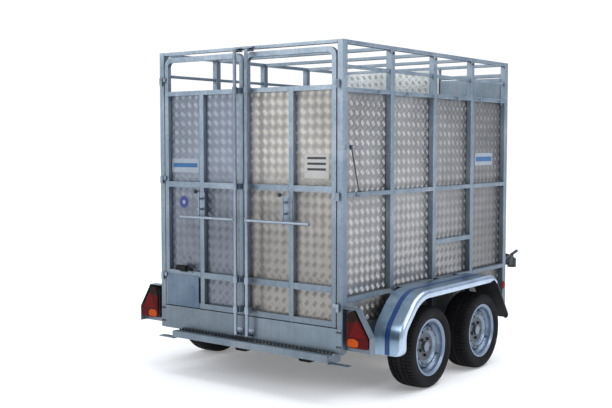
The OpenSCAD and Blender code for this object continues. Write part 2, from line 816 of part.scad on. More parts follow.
// Handbrake lever, which lies forward when it is off
module handbrake_lever() color(black) placed()
    translate([48, 3560, draw_z + 15]) rotate([12, 0, 0]) difference() {
        union() {
            bar_x([0, 0, 0], 20, 12);
            slab([2, 0, -11], [10, 245, 11]);
            bar_y([6, 232, 0], 14, 113);
        }
        bar_x([-5, 0, 0], 10 + run, 30);
    }

module jockey_outer_tube() color(galv) placed() {
    difference() {
        union() {
            bar_z([jockey_x, jockey_y, 330], 24, 430);
            slab([jockey_x + 20, jockey_y - 26, bar_low + 8], [jockey_x + 31, jockey_y + 26, bar_high - 6]);
            bar_z([jockey_x, jockey_y, bar_low + 8], 32, 56);
        }
        bar_z([jockey_x, jockey_y, 320], 21.2, 437);
        bar_z([jockey_x, jockey_y, 700], 8 + run, 100);
    }
}

module jockey_leg() color(galv) placed()
    difference() {
        union() {
            bar_z([jockey_x, jockey_y, 218], 20, 382);
            bar_z([jockey_x, jockey_y, 210], 26, 8);
        }
        bar_z([jockey_x, jockey_y, 200], 6 + run, 40);
        bar_z([jockey_x, jockey_y, 226], 17, 362);
        bar_z([jockey_x, jockey_y, 240], 8.3, 400);
    }

// The fork swivels under the leg on a pin, and trails the wheel behind its axis
module jockey_fork() color(galv) placed() translate([jockey_x, jockey_y, 0]) {
    slab([-39, -jockey_trail - 24, 203.6], [39, 26, 209.6]);
    for (s = [-1, 1])
        slab([s * 37 - 2.5, -jockey_trail - 16, jockey_z - 16], [s * 37 + 2.5, -jockey_trail + 16, 204]);
    bar_x([-39, -jockey_trail, jockey_z], 7, 78);
    bar_z([0, 0, 204], 6, 24);
}

module jockey_wheel() color(black) placed()
    difference() {
        bar_x([jockey_x - 28, jockey_y - jockey_trail, jockey_z], jockey_r, 56);
        bar_x([jockey_x - 40, jockey_y - jockey_trail, jockey_z], 7 + run, 80);
    }

module jockey_crank() color("#d5dae0") placed() translate([jockey_x, jockey_y, 0]) {
    bar_z([0, 0, 400], 8, 375);
    slab([-10, -10, 768], [120, 10, 776]);
    bar_z([110, 0, 776], 12, 70);
}

chassis_frame();
drawbar();
floor_plate();
side_frames();
front_wall_frame();
roof_bars();
wall_plates();
sill_panels();
frame_bolts();
rear_step();
step_grating();
fenders();
lamp_brackets();
lamp_housings();
lamp_lenses_red();
lamp_lenses_amber();
side_markers();
side_fittings();
door_hinge_pins();
rod_keepers();
axle_beams();
anti_tip_feet();
coupling_housing();
coupling_gaiter();
jockey_outer_tube();
door_left_frame();
door_left_plate();
door_left_hardware();
number_plate_panel();
plate_light();
door_right_frame();
door_right_plate();
door_right_hardware();
lock_rod_left();
lock_rod_right();
handle_bolt_left();
handle_bolt_right();
front_door();
front_door_latch();
door_stay_left();
door_stay_right();
at_wheel(0, true) painted_arm();  // arm_rear_left
at_wheel(0, false) painted_arm();  // arm_rear_right
at_wheel(1, true) painted_arm();  // arm_front_left
at_wheel(1, false) painted_arm();  // arm_front_right
at_wheel(0, true) painted_rim();  // rim_rear_left
at_wheel(0, false) painted_rim();  // rim_rear_right
at_wheel(1, true) painted_rim();  // rim_front_left
at_wheel(1, false) painted_rim();  // rim_front_right
at_wheel(0, true) painted_tyre();  // tyre_rear_left
at_wheel(0, false) painted_tyre();  // tyre_rear_right
at_wheel(1, true) painted_tyre();  // tyre_front_left
at_wheel(1, false) painted_tyre();  // tyre_front_right
coupling_head();
coupling_lever();
handbrake_lever();
jockey_leg();
jockey_fork();
jockey_crank();
jockey_wheel();
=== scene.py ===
"""Looks of the livestock trailer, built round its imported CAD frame."""
import json
import math

import bmesh
import bpy
import numpy as np
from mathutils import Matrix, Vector


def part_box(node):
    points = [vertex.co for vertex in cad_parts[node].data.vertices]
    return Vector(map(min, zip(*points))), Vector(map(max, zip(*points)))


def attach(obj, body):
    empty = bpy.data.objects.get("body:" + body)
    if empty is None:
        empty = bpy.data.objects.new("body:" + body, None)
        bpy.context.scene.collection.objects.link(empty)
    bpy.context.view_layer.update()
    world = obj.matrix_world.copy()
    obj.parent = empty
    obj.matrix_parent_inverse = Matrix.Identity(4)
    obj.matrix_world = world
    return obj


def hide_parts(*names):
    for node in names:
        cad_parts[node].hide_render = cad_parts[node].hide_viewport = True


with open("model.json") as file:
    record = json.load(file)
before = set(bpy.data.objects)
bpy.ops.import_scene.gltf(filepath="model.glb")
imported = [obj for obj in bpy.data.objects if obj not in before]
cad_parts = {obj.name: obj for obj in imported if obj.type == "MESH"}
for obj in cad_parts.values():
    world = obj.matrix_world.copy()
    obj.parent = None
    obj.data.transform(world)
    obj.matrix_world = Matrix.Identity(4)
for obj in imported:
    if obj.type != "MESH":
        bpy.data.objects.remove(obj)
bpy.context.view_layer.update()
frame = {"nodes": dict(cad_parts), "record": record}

MM = 0.001
VIEW_TURN = math.radians(37.408)
scene = bpy.context.scene

# ---------------------------------------------------------------- places taken from the frame

body_lo, body_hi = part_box("side_frames")
rear = body_lo.y
half_w = body_hi.x / MM
fender_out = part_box("fenders")[1].x / MM
fender_in = half_w + 55


def at(x, y, z):
    """A point in metres, from millimetres right of the middle, ahead of the body's rear face and up."""
    return Vector((x * MM, rear + y * MM, z * MM))


def solids(node):
    """(lowest, highest) corner of each separate solid of a CAD node."""
    bm = joined_faces(node)
    left = set(bm.verts)
    boxes = []
    while left:
        stack = [left.pop()]
        found = []
        while stack:
            v = stack.pop()
            found.append(v.co)
            for e in v.link_edges:
                w = e.other_vert(v)
                if w in left:
                    left.discard(w)
                    stack.append(w)
        co = np.array(found)
        boxes.append((Vector(co.min(0)), Vector(co.max(0))))
    bm.free()
    return sorted(boxes, key=lambda b: tuple(b[0]))


def joined_faces(node):
    """A bmesh of a CAD node with its triangles joined into whole faces."""
    bm = bmesh.new()
    bm.from_mesh(frame["nodes"][node].data)
    bmesh.ops.remove_doubles(bm, verts=bm.verts, dist=0.02 * MM)
    bmesh.ops.dissolve_limit(bm, angle_limit=math.radians(1), verts=bm.verts, edges=bm.edges)
    return bm


# ---------------------------------------------------------------- material nodes

# Where the painted shadow of the fenders on the lower body fades, in metres: up the body, then ahead of the
# body's rear face
SHADOW_UP, SHADOW_REAR, SHADOW_FRONT = (0.54, 0.63), (0.30, 0.46), (1.86, 1.94)
# What the painted shadow of the fenders leaves of the metal's brightness
SHADOW_LEAST = 0.3


class Shader:
    """A material's node tree round one Principled shader, with short calls for what repeats."""

    def __init__(self, name, metallic=0.0, **sockets):
        self.material = bpy.data.materials.new(name)
        self.material.use_nodes = True
        self.tree = self.material.node_tree
        self.tree.nodes.clear()
        self.bsdf = self.tree.nodes.new("ShaderNodeBsdfPrincipled")
        out = self.tree.nodes.new("ShaderNodeOutputMaterial")
        self.tree.links.new(self.bsdf.outputs[0], out.inputs[0])
        self.bsdf.inputs["Metallic"].default_value = metallic
        for key, value in sockets.items():
            self.bsdf.inputs[key.replace("_", " ")].default_value = value
        self.place = self.tree.nodes.new("ShaderNodeTexCoord").outputs["Object"]

    def put(self, socket, value):
        if isinstance(value, bpy.types.NodeSocket):
            self.tree.links.new(value, socket)
        elif isinstance(value, tuple):
            socket.default_value = (*value, 1.0)[: len(socket.default_value)]
        else:
            socket.default_value = value

    def set(self, name, value):
        self.put(self.bsdf.inputs[name], value)

    def stretched(self, scale):
        node = self.tree.nodes.new("ShaderNodeMapping")
        self.put(node.inputs["Vector"], self.place)
        node.inputs["Scale"].default_value = scale
        return node.outputs[0]

    def noise(self, scale, detail, stretch=None, warp=0.0):
        node = self.tree.nodes.new("ShaderNodeTexNoise")
        self.put(node.inputs["Vector"], self.stretched(stretch) if stretch else self.place)
        node.inputs["Scale"].default_value = scale
        node.inputs["Detail"].default_value = detail
        node.inputs["Distortion"].default_value = warp
        return node.outputs["Fac"]

    def cells(self, scale, output="Color", stretch=None):
        node = self.tree.nodes.new("ShaderNodeTexVoronoi")
        self.put(node.inputs["Vector"], self.stretched(stretch) if stretch else self.place)
        node.inputs["Scale"].default_value = scale
        return node.outputs[output]

    def math(self, kind, a, b):
        node = self.tree.nodes.new("ShaderNodeMath")
        node.operation = kind
        self.put(node.inputs[0], a)
        self.put(node.inputs[1], b)
        return node.outputs[0]

    def times(self, value, *others):
        for other in others:
            value = self.math("MULTIPLY", value, other)
        return value

    def fit(self, value, low, high, to_low=0.0, to_high=1.0):
        node = self.tree.nodes.new("ShaderNodeMapRange")
        for name, v in zip(("Value", "From Min", "From Max", "To Min", "To Max"),
                           (value, low, high, to_low, to_high)):
            self.put(node.inputs[name], v)
        return node.outputs[0]

    def mix(self, factor, a, b):
        node = self.tree.nodes.new("ShaderNodeMix")
        node.data_type = "RGBA"
        self.put(node.inputs["Factor"], factor)
        self.put(node.inputs[6], a)
        self.put(node.inputs[7], b)
        return node.outputs[2]

    def shade(self, colour, value):
        """A colour made darker or lighter by a grey value round 1."""
        node = self.tree.nodes.new("ShaderNodeVectorMath")
        node.operation = "SCALE"
        self.put(node.inputs[0], colour)
        self.put(node.inputs["Scale"], value)
        return node.outputs[0]

    def corners(self, reach):
        """1 in the open and towards 0 in a corner, within a reach."""
        node = self.tree.nodes.new("ShaderNodeAmbientOcclusion")
        node.samples = 6
        node.inputs["Distance"].default_value = reach
        return node.outputs["AO"]

    def along(self, axis, start, end, first, last):
        """A value that changes between two places along X, Y or Z."""
        node = self.tree.nodes.new("ShaderNodeSeparateXYZ")
        self.put(node.inputs[0], self.place)
        return self.fit(node.outputs[axis], start, end, first, last)

    def fender_shadow(self, value):
        """Darkens a value with a painted shadow of the fenders on the lower part of the body, by the wheels.
        """
        low = self.along("Z", *SHADOW_UP, 1.0, 0.0)
        rear_end = self.along("Y", *(rear + y for y in SHADOW_REAR), 0.0, 1.0)
        front_end = self.along("Y", *(rear + y for y in SHADOW_FRONT), 1.0, 0.0)
        share = self.times(low, rear_end, front_end)
        return self.times(value, self.fit(share, 0.0, 1.0, 1.0, SHADOW_LEAST))

    def bump(self, height, strength, depth):
        node = self.tree.nodes.new("ShaderNodeBump")
        self.put(node.inputs["Height"], height)
        node.inputs["Strength"].default_value = strength
        node.inputs["Distance"].default_value = depth
        if self.bsdf.inputs["Normal"].is_linked:
            self.put(node.inputs["Normal"], self.bsdf.inputs["Normal"].links[0].from_socket)
        self.set("Normal", node.outputs[0])


def corner_shade(s, colour, shade_tint, reach, least):
    """A colour darkened in its corners by how shut in they are, as painted shade broken up in patches by
    noise.
    """
    open_air = s.fit(s.corners(reach), 0.25, 0.85)
    patchy = s.fit(s.noise(9, 5), 0.3, 0.7, 0.55, 1.0)
    hidden = s.times(s.math("SUBTRACT", 1.0, open_air), patchy)
    return s.mix(s.times(hidden, least), colour, shade_tint)


def galvanised(name, tint=(0.28, 0.345, 0.41), rough=(0.36, 0.58), spangle=0.16, right=1.0):
    """Hot-dip zinc: frost-like grains, dull clouds, runs down the faces, and painted shade in the corners.
    """
    s = Shader(name, metallic=0.82)
    grains = s.cells(95)
    fine = s.cells(210)
    grain = s.math("ADD", s.times(grains, 0.65), s.times(fine, 0.35))
    clouds = s.noise(3.2, 6, warp=0.6)
    runs = s.noise(4, 5, stretch=(9, 9, 1.1))
    # painted shadow of the fenders low on the body
    value = s.fender_shadow(s.times(
        s.fit(grain, 0.1, 0.9, 1 - spangle, 1 + spangle), s.fit(clouds, 0.3, 0.7, 0.86, 1.12),
        s.fit(runs, 0.35, 0.7, 0.93, 1.07), s.along("Z", 0.5, 1.5, 0.62, 1.0),
        # painted light: the right side is made lighter and the left darker by the factor right
        s.along("X", -0.7, 0.7, 2 - right, right)))
    dull = s.mix(s.fit(clouds, 0.48, 0.72), tint, tuple(0.75 * c + 0.14 for c in tint))
    colour = s.shade(dull, value)
    # painted shade in the corners
    s.set("Base Color", corner_shade(s, colour, (0.16, 0.165, 0.17), 0.05, 0.65))
    s.set("Roughness", s.fit(s.math("ADD", grain, clouds), 0.6, 1.5, *rough))
    s.bump(grain, 0.10, 0.0006)
    s.bump(s.noise(260, 2), 0.12, 0.0004)
    return s.material


def tread_metal(name, tint, rough=(0.24, 0.42), low=0.6, front=1.0):
    """Aluminium sheet: drawn lines, dull spots, rain streaks, darker towards the bottom, and painted shade
    round each bar.
    """
    s = Shader(name, metallic=0.92)
    clouds = s.noise(2.1, 5, warp=0.8)
    streaks = s.noise(5, 4, stretch=(10, 10, 0.7))
    drawn = s.noise(30, 3, stretch=(1, 1, 26))
    # painted shadow of the fenders low on the body
    value = s.fender_shadow(s.times(
        s.fit(clouds, 0.3, 0.7, 0.84, 1.14), s.fit(streaks, 0.35, 0.7, 0.93, 1.06),
        s.fit(drawn, 0.3, 0.7, 0.96, 1.04), s.along("Z", 0.95, 1.5, low, 1.0),
        s.along("Y", -1.0, 0.1, 1.0, front)))
    colour = s.shade(tint, value)
    # painted shade round each bar and in the corners
    s.set("Base Color", corner_shade(s, colour, tuple(0.30 * c for c in tint), 0.012, 0.75))
    s.set("Roughness", s.fit(s.math("ADD", clouds, drawn), 0.6, 1.4, *rough))
    s.bump(drawn, 0.08, 0.0003)
    s.bump(s.noise(18, 2), 0.10, 0.002)
    return s.material


def plain_metal(name, tint, rough, metallic=0.9, worn=0.12, scale=40):
    """Plated or painted steel with a slight mottle, fine scratches and painted shade in its corners."""
    s = Shader(name, metallic=metallic)
    mottle = s.noise(scale, 4)
    clouds = s.noise(6, 4)
    value = s.times(s.fit(mottle, 0.3, 0.7, 1 - worn, 1 + worn),
                   s.fit(clouds, 0.3, 0.7, 0.93, 1.05))
    # painted shade in the corners
    s.set("Base Color", corner_shade(s, s.shade(tint, value), tuple(0.25 * c for c in tint), 0.03, 0.7))
    s.set("Roughness", s.fit(mottle, 0.3, 0.7, rough - 0.07, rough + 0.1))
    s.bump(s.noise(240, 2, stretch=(1, 3, 1)), 0.08, 0.0003)
    return s.material


def fender_sheet(name, tint):
    """Smooth bluish zinc sheet with a faint flow of grains along its length."""
    s = Shader(name, metallic=0.88)
    grains = s.cells(38, stretch=(1, 0.5, 0.5))
    clouds = s.noise(4.5, 5, warp=0.5)
    value = s.times(s.fit(grains, 0.1, 0.9, 0.94, 1.07), s.fit(clouds, 0.3, 0.7, 0.88, 1.10))
    # painted shade in the corners
    s.set("Base Color", corner_shade(s, s.shade(tint, value), tuple(0.3 * c for c in tint), 0.05, 0.6))
    s.set("Roughness", s.fit(clouds, 0.3, 0.7, 0.24, 0.38))
    s.bump(s.noise(140, 2), 0.06, 0.0004)
    return s.material


def rubber(name, tint):
    """Black rubber with a fine grain, bloom on its flats and dust where nothing rubs."""
    s = Shader(name, Specular_IOR_Level=0.14)
    bloom = s.noise(11, 5)
    speck = s.noise(160, 3)
    settled = s.times(s.fit(bloom, 0.45, 0.75), s.fit(speck, 0.3, 0.8))
    s.set("Base Color", s.mix(s.times(settled, 0.45), tint, (0.045, 0.042, 0.04)))
    s.set("Roughness", s.fit(speck, 0.3, 0.7, 0.62, 0.85))
    s.bump(speck, 0.25, 0.0005)
    return s.material


def black_plastic(name):
    """Moulded black plastic with a leather-like grain and paler rubbed places."""
    s = Shader(name, Specular_IOR_Level=0.45)
    grain = s.cells(700, "Distance")
    rubbed = s.fit(s.noise(16, 5), 0.5, 0.75)
    s.set("Base Color", s.mix(rubbed, (0.014, 0.014, 0.015), (0.045, 0.045, 0.047)))
    s.set("Roughness", s.fit(grain, 0.0, 0.6, 0.38, 0.56))
    s.bump(grain, 0.2, 0.0003)
    return s.material


def lens(name, tint, deep, pitch=230):
    """Moulded lens: small prisms under a clear glossy skin, and road film over it."""
    s = Shader(name, Coat_Weight=0.04, Coat_Roughness=0.05, Specular_IOR_Level=0.05)
    prism = s.cells(pitch, "Distance")
    film = s.fit(s.noise(14, 5), 0.45, 0.8)
    colour = s.mix(s.fit(prism, 0.15, 0.55), tint, deep)
    s.set("Base Color", s.mix(s.times(film, 0.05), colour, (0.10, 0.07, 0.06)))
    s.set("Roughness", s.fit(film, 0.0, 1.0, 0.10, 0.22))
    s.bump(prism, 0.12, 0.0008)
    return s.material


def enamel(name, tint, gloss):
    """Printed or painted film: almost even colour, fine speckle and a scuffed gloss."""
    s = Shader(name, Coat_Weight=gloss, Coat_Roughness=0.2)
    scuff = s.noise(55, 5)
    clouds = s.noise(12, 4)
    value = s.times(s.fit(scuff, 0.3, 0.7, 0.95, 1.04), s.fit(clouds, 0.3, 0.7, 0.94, 1.04))
    s.set("Base Color", s.shade(tint, value))
    s.set("Roughness", s.fit(scuff, 0.3, 0.7, 0.27, 0.44))
    s.bump(scuff, 0.05, 0.0003)
    return s.material


zinc = galvanised("galvanised_zinc")
zinc_dark = galvanised("galvanised_chassis", tint=(0.33, 0.37, 0.42), rough=(0.42, 0.62))
# the sill's right side is painted lighter than its left: painted light
sill_zinc = galvanised("galvanised_sill", tint=(0.27, 0.335, 0.39), rough=(0.34, 0.5), spangle=0.10,
                       right=1.14)
bright = plain_metal("bright_zinc_plate", (0.29, 0.34, 0.40), 0.36)
grating = plain_metal("grating_steel", (0.085, 0.095, 0.105), 0.5, metallic=0.7, worn=0.3)
axle_zinc = galvanised("axle_zinc", tint=(0.24, 0.26, 0.28), rough=(0.45, 0.62))
tyre_rubber = rubber("tyre_rubber", (0.008, 0.008, 0.009))
moulded_rubber = rubber("moulded_rubber", (0.012, 0.012, 0.013))
plastic = black_plastic("moulded_plastic")
casting = plain_metal("cast_black", (0.035, 0.038, 0.042), 0.48, metallic=0.4, worn=0.2, scale=120)
fender_zinc = fender_sheet("fender_zinc", (0.30, 0.42, 0.54))
# the lip's paler tint is a painted highlight on its roll
lip_highlight = fender_sheet("fender_lip", (0.46, 0.55, 0.67))
wheel_paint = plain_metal("wheel_silver", (0.21, 0.27, 0.355), 0.34, metallic=0.62, worn=0.06)
lens_red = lens("lens_red", (0.11, 0.006, 0.006), (0.045, 0.003, 0.003))
lens_amber = lens("lens_amber", (0.72, 0.13, 0.012), (0.36, 0.045, 0.005))
lens_smoked = lens("lens_smoked", (0.032, 0.016, 0.010), (0.012, 0.006, 0.004))
lens_low = lens("lens_low", (0.15, 0.007, 0.010), (0.06, 0.003, 0.004))
lens_bright = lens("lens_bright", (0.20, 0.006, 0.006), (0.09, 0.003, 0.003), pitch=320)
lens_marker = lens("lens_marker", (0.30, 0.018, 0.010), (0.13, 0.006, 0.004))
stripe_blue = enamel("stripe_blue", (0.008, 0.045, 0.17), gloss=0.08)
film_pale = enamel("film_pale", (0.29, 0.325, 0.37), gloss=0.08)
film_grey = enamel("film_grey", (0.44, 0.43, 0.41), gloss=0.1)
film_blue = enamel("film_blue", (0.02, 0.11, 0.26), gloss=0.1)
film_black = enamel("film_black", (0.03, 0.03, 0.03), gloss=0.1)
film_violet = enamel("film_violet", (0.025, 0.035, 0.19), gloss=0.08)
# black painted shade for the fenders' insides, their stays and the front legs' lips
fender_shade_black = plain_metal("painted_shade_black", (0.012, 0.012, 0.013), 0.6, metallic=0.1, worn=0.25)
bolt_dark = plain_metal("bolt_dark", (0.075, 0.08, 0.085), 0.42, metallic=0.8, worn=0.25, scale=150)
# the wheels' seats and nuts are darkened as painted shade round the hub
seat_dark = plain_metal("wheel_seat", (0.10, 0.115, 0.13), 0.42, metallic=0.7, worn=0.1)
drum_dark = plain_metal("drum_dark", (0.02, 0.02, 0.021), 0.6, metallic=0.3, worn=0.3)
cap_grey = plain_metal("cap_grey", (0.20, 0.235, 0.28), 0.35, metallic=0.8, worn=0.08)
nut_dark = plain_metal("nut_dark", (0.035, 0.037, 0.04), 0.38, metallic=0.7, worn=0.3, scale=200)
hub_grey = plain_metal("hub_grey", (0.16, 0.17, 0.18), 0.45, metallic=0.2, worn=0.15)
panel_zinc = galvanised("galvanised_panel", tint=(0.16, 0.23, 0.32), rough=(0.40, 0.52), spangle=0.07)
# One aluminium in copies with painted light: the different tints of the walls and the leaves, bluish on the
# left leaf and warm on the right leaf and the sides, are painted reflections, the front wall's paler inside
# is painted light, the paler bars are painted highlights, and the darker shaded bars are painted shade on
# the bars turned the other way
sheet_side = tread_metal("tread_side", (0.41, 0.40, 0.39), low=0.78, front=0.58)
bars_side = tread_metal("tread_bars_side", (0.50, 0.49, 0.49), rough=(0.36, 0.50), low=0.8, front=0.68)
sheet_front = tread_metal("tread_front", (0.62, 0.64, 0.62), front=1.1)
sheet_outside = tread_metal("sheet_outside", (0.34, 0.36, 0.39), rough=(0.3, 0.46), low=0.7)
bars_front = tread_metal("tread_bars_front", (0.70, 0.71, 0.70), rough=(0.3, 0.44), front=1.1)
sheet_left = tread_metal("tread_left_leaf", (0.29, 0.315, 0.36), low=0.60)
bars_left = tread_metal("tread_bars_left_leaf", (0.40, 0.43, 0.49), rough=(0.30, 0.44))
sheet_right = tread_metal("tread_right_leaf", (0.465, 0.435, 0.40), low=0.60)
shaded_bars_side = tread_metal("tread_shaded_bars_side", (0.33, 0.32, 0.32), rough=(0.4, 0.55), low=0.78, front=0.6)
shaded_bars_left = tread_metal("tread_shaded_bars_left_leaf", (0.25, 0.275, 0.315), rough=(0.4, 0.55), low=0.60)
shaded_bars_right = tread_metal("tread_shaded_bars_right_leaf", (0.37, 0.35, 0.325), rough=(0.4, 0.55), low=0.62)
bars_right = tread_metal("tread_bars_right_leaf", (0.66, 0.62, 0.575), rough=(0.30, 0.44))

# ---------------------------------------------------------------- pieces

SIDES = ((1, "right"), (-1, "left"))
WHEELS = ("rear_left", "rear_right", "front_left", "front_right")
body_of = {n: b for b, members in frame["record"]["behaviour"]["bodies"].items() for n in members}
slot_of = {s["node"]: s["material_slot"] for s in frame["record"]["subparts"]}


def piece(name, mesh, materials, body, slot, stands_for=(), smooth=35):
    """A finished piece that rides on a body. Edges sharper than the smooth angle stay sharp."""
    obj = bpy.data.objects.new(name, mesh)
    scene.collection.objects.link(obj)
    for m in materials:
        mesh.materials.append(m)
    mesh.shade_smooth()
    mesh.set_sharp_from_angle(angle=math.radians(smooth))
    normals = obj.modifiers.new("even_normals", "WEIGHTED_NORMAL")
    normals.keep_sharp = True
    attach(obj, body)
    if stands_for:
        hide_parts(*stands_for)
    return obj


def mesh_from(bm, name):
    """A mesh from a bmesh, with its faces turned outwards."""
    mesh = bpy.data.meshes.new(name)
    bmesh.ops.recalc_face_normals(bm, faces=bm.faces)
    bm.to_mesh(mesh)
    bm.free()
    return mesh


def sharp_convex(bm, least=25):
    """Outer edges sharper than an angle in degrees."""
    return [e for e in bm.edges
            if len(e.link_faces) == 2 and e.is_convex and math.degrees(e.calc_face_angle()) > least]


def bevel(bm, edges, width, segments=2, profile=0.6):
    """Rounds edges over a width in mm."""
    bmesh.ops.bevel(bm, geom=list(edges), offset=width * MM, segments=segments, profile=profile,
                    affect="EDGES", clamp_overlap=True)


def rounded(node, width, material, segments=2):
    """Stands for a CAD node, with every outer edge rounded."""
    bm = joined_faces(node)
    bevel(bm, sharp_convex(bm), width, segments)
    name = node + "_finished"
    return piece(name, mesh_from(bm, name), [material], body_of[node], slot_of[node], [node])


def islands(bm):
    """The faces of each separate solid in turn."""
    left = set(bm.faces)
    while left:
        stack = [left.pop()]
        found = set(stack)
        while stack:
            for e in stack.pop().edges:
                for g in e.link_faces:
                    if g in left:
                        left.discard(g)
                        found.add(g)
                        stack.append(g)
        yield found


# A tube's long corners are its edges over this share of its longest one
LONG_SHARE = 0.55


def tubular(node, corner, material):
    """Stands for a node of square tubes: their long corners are rolled, and their cut ends stay sharp."""
    bm = joined_faces(node)
    rolled = []
    for part in islands(bm):
        edges = {e for f in part for e in f.edges if e.is_convex and e.calc_face_angle(0) > 0.4}
        longest = max(e.calc_length() for e in edges)
        rolled += [e for e in edges if e.calc_length() > LONG_SHARE * longest]
    bevel(bm, rolled, corner, 3, 0.5)
    name = node + "_finished"
    return piece(name, mesh_from(bm, name), [material], body_of[node], slot_of[node], [node])


# Raised bars of the tread plates, in groups of five that turn to and fro
GROUP_PITCH = 60 * MM
BAR_PITCH = 7.4 * MM
BAR_LENGTH = 33 * MM
BAR_WIDTH = 5.2 * MM
BAR_HEIGHT = 1.5 * MM
BAR_SINK = 0.2 * MM
BAR_POINTS = np.array([
    (-0.5, 0, 0), (-0.27, -0.5, 0), (-0.27, 0, 1), (-0.27, 0.5, 0),
    (0.27, -0.5, 0), (0.27, 0, 1), (0.27, 0.5, 0), (0.5, 0, 0),
])
BAR_FACES = [
    (0, 1, 2), (0, 2, 3), (1, 4, 5, 2), (2, 5, 6, 3), (4, 7, 5), (5, 7, 6), (0, 3, 6, 7, 4, 1),
]


def bar_places(lo, hi, covers):
    """(u, v, turn) of every bar on a rectangle, leaving out those that a tube covers."""
    places = []
    middle = [(a + b) / 2 for a, b in zip(lo, hi)]
    reach = [int((b - a) / GROUP_PITCH) + 2 for a, b in zip(lo, hi)]
    edge = BAR_LENGTH * 0.36
    for i in range(-reach[0], reach[0] + 1):
        for j in range(-reach[1], reach[1] + 1):
            if (i + j) % 2:
                continue
            turn = math.pi / 4 if i % 2 else -math.pi / 4
            for k in range(-2, 3):
                u = middle[0] + i * GROUP_PITCH / 2 - k * BAR_PITCH * math.sin(turn)
                v = middle[1] + j * GROUP_PITCH / 2 + k * BAR_PITCH * math.cos(turn)
                if not (lo[0] + edge < u < hi[0] - edge and lo[1] + edge < v < hi[1] - edge):
                    continue
                if any(a[0] < u < b[0] and a[1] < v < b[1] for a, b in covers):
                    continue
                places.append((u, v, turn))
    return places


def tread_plate(name, lo, hi, axis, side, body, materials, stands_for=(), covers=()):
    """A plate between two corners, with raised bars on the side that faces along an axis."""
    u, v = [i for i in range(3) if i != axis]
    hidden = [((a[u], a[v]), (b[u], b[v])) for a, b in covers]
    face = hi[axis] if side > 0 else lo[axis]
    places = bar_places((lo[u], lo[v]), (hi[u], hi[v]), hidden)
    turned = np.zeros((len(places), len(BAR_POINTS), 3))
    shape = BAR_POINTS * (BAR_LENGTH, BAR_WIDTH, BAR_HEIGHT + BAR_SINK)
    for row, (pu, pv, turn) in zip(turned, places):
        row[:, u] = pu + shape[:, 0] * math.cos(turn) - shape[:, 1] * math.sin(turn)
        row[:, v] = pv + shape[:, 0] * math.sin(turn) + shape[:, 1] * math.cos(turn)
        row[:, axis] = face + side * (shape[:, 2] - BAR_SINK)
    corners = [(x, y, z) for x in (lo.x, hi.x) for y in (lo.y, hi.y) for z in (lo.z, hi.z)]
    sides = [(0, 1, 3, 2), (4, 6, 7, 5), (0, 4, 5, 1), (2, 3, 7, 6), (0, 2, 6, 4), (1, 5, 7, 3)]
    verts = corners + turned.reshape(-1, 3).tolist()
    flip = (axis == 1) == (side > 0)
    bars = [tuple(8 + 8 * n + i for i in (f[::-1] if flip else f))
            for n in range(len(places)) for f in BAR_FACES]
    mesh = bpy.data.meshes.new(name)
    mesh.from_pydata(verts, [], sides + bars)
    obj = piece(name, mesh, materials, body, "tread_plate", stands_for, smooth=60)
    marks = [0] * len(sides)
    # bars turned one way take the paler bar material, a painted highlight, and those turned the other way
    # the darker one, painted shade
    for _, _, turn in places:
        marks += [1 if turn > 0 else 2] * len(BAR_FACES)
    mesh.polygons.foreach_set("material_index", marks)
    return obj


# Plain plates where the real ones carry print, as stretches along the face and up, and the disc's middle
BADGE_LEFT = ((-677, -427), (1363, 1457))
SIGN_RIGHT = ((456, 640), (1346, 1493))
BADGE_SIDE = ((1733, 2010), (1396, 1487))
DISC_X, DISC_Z, DISC_RADIUS = -568, 1164, 40


def on_leaf(xs, zs, margin=3):
    """Corners of a place on a leaf that is kept clear of bars."""
    return at(xs[0] - margin, 0, zs[0] - margin), at(xs[1] + margin, 0, zs[1] + margin)


def on_wall(ys, zs, margin=3):
    """Corners of a place on a side wall that is kept clear of bars."""
    return at(0, ys[0] - margin, zs[0] - margin), at(0, ys[1] + margin, zs[1] + margin)


def build_treads():
    """Tread plates of the walls, the deck and the leaves. Bars are left out under tubes and plain plates."""
    walls = solids("wall_plates")
    left = [b for b in solids("side_frames") if b[1].x < 0]
    right = [b for b in solids("side_frames") if b[0].x > 0]
    wall_left = min(walls, key=lambda b: b[1].x)
    wall_right = max(walls, key=lambda b: b[0].x)
    wall_front = max(walls, key=lambda b: b[0].y)
    pair = [sheet_side, bars_side, shaded_bars_side]
    right.append(on_wall(*BADGE_SIDE))
    disc = on_leaf((DISC_X, DISC_X), (DISC_Z, DISC_Z), DISC_RADIUS + 2)
    tread_plate("wall_plate_left", *wall_left, 0, -1, "trailer", pair, ["wall_plates"], left)
    tread_plate("wall_plate_right", *wall_right, 0, 1, "trailer", pair, ["wall_plates"], right)
    front = tread_plate("wall_plate_front", *wall_front, 1, -1, "trailer",
                        [sheet_front, bars_front, sheet_front, sheet_outside], ["wall_plates"])
    # a plate's fourth face looks ahead, so here it is the outside
    front.data.polygons[3].material_index = 3
    tread_plate("deck_plate", *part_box("floor_plate"), 2, 1, "trailer", pair, ["floor_plate"])
    tread_plate("left_leaf_plate", *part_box("door_left_plate"), 1, -1, "door_left",
                [sheet_left, bars_left, shaded_bars_left], ["door_left_plate"],
                solids("door_left_frame") + [on_leaf(*BADGE_LEFT), disc])
    tread_plate("right_leaf_plate", *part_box("door_right_plate"), 1, -1, "door_right",
                [sheet_right, bars_right, shaded_bars_right], ["door_right_plate"],
                solids("door_right_frame") + [on_leaf(*SIGN_RIGHT)])


def build_frames():
    """Welded frames of square tube, and the flat zinc plates fixed to them."""
    tubular("side_frames", 3.5, zinc)
    tubular("front_wall_frame", 3, zinc)
    tubular("roof_bars", 2.5, zinc)
    tubular("door_left_frame", 3, zinc)
    tubular("door_right_frame", 3, zinc)
    tubular("chassis_frame", 4, zinc_dark)
    tubular("drawbar", 4, zinc)
    tubular("axle_beams", 4, axle_zinc)
    tubular("rear_step", 3, zinc)
    rounded("front_door", 1.2, zinc)
    rounded("sill_panels", 0.8, sill_zinc)
    rounded("lamp_brackets", 0.6, zinc)
    rounded("number_plate_panel", 0.8, panel_zinc)


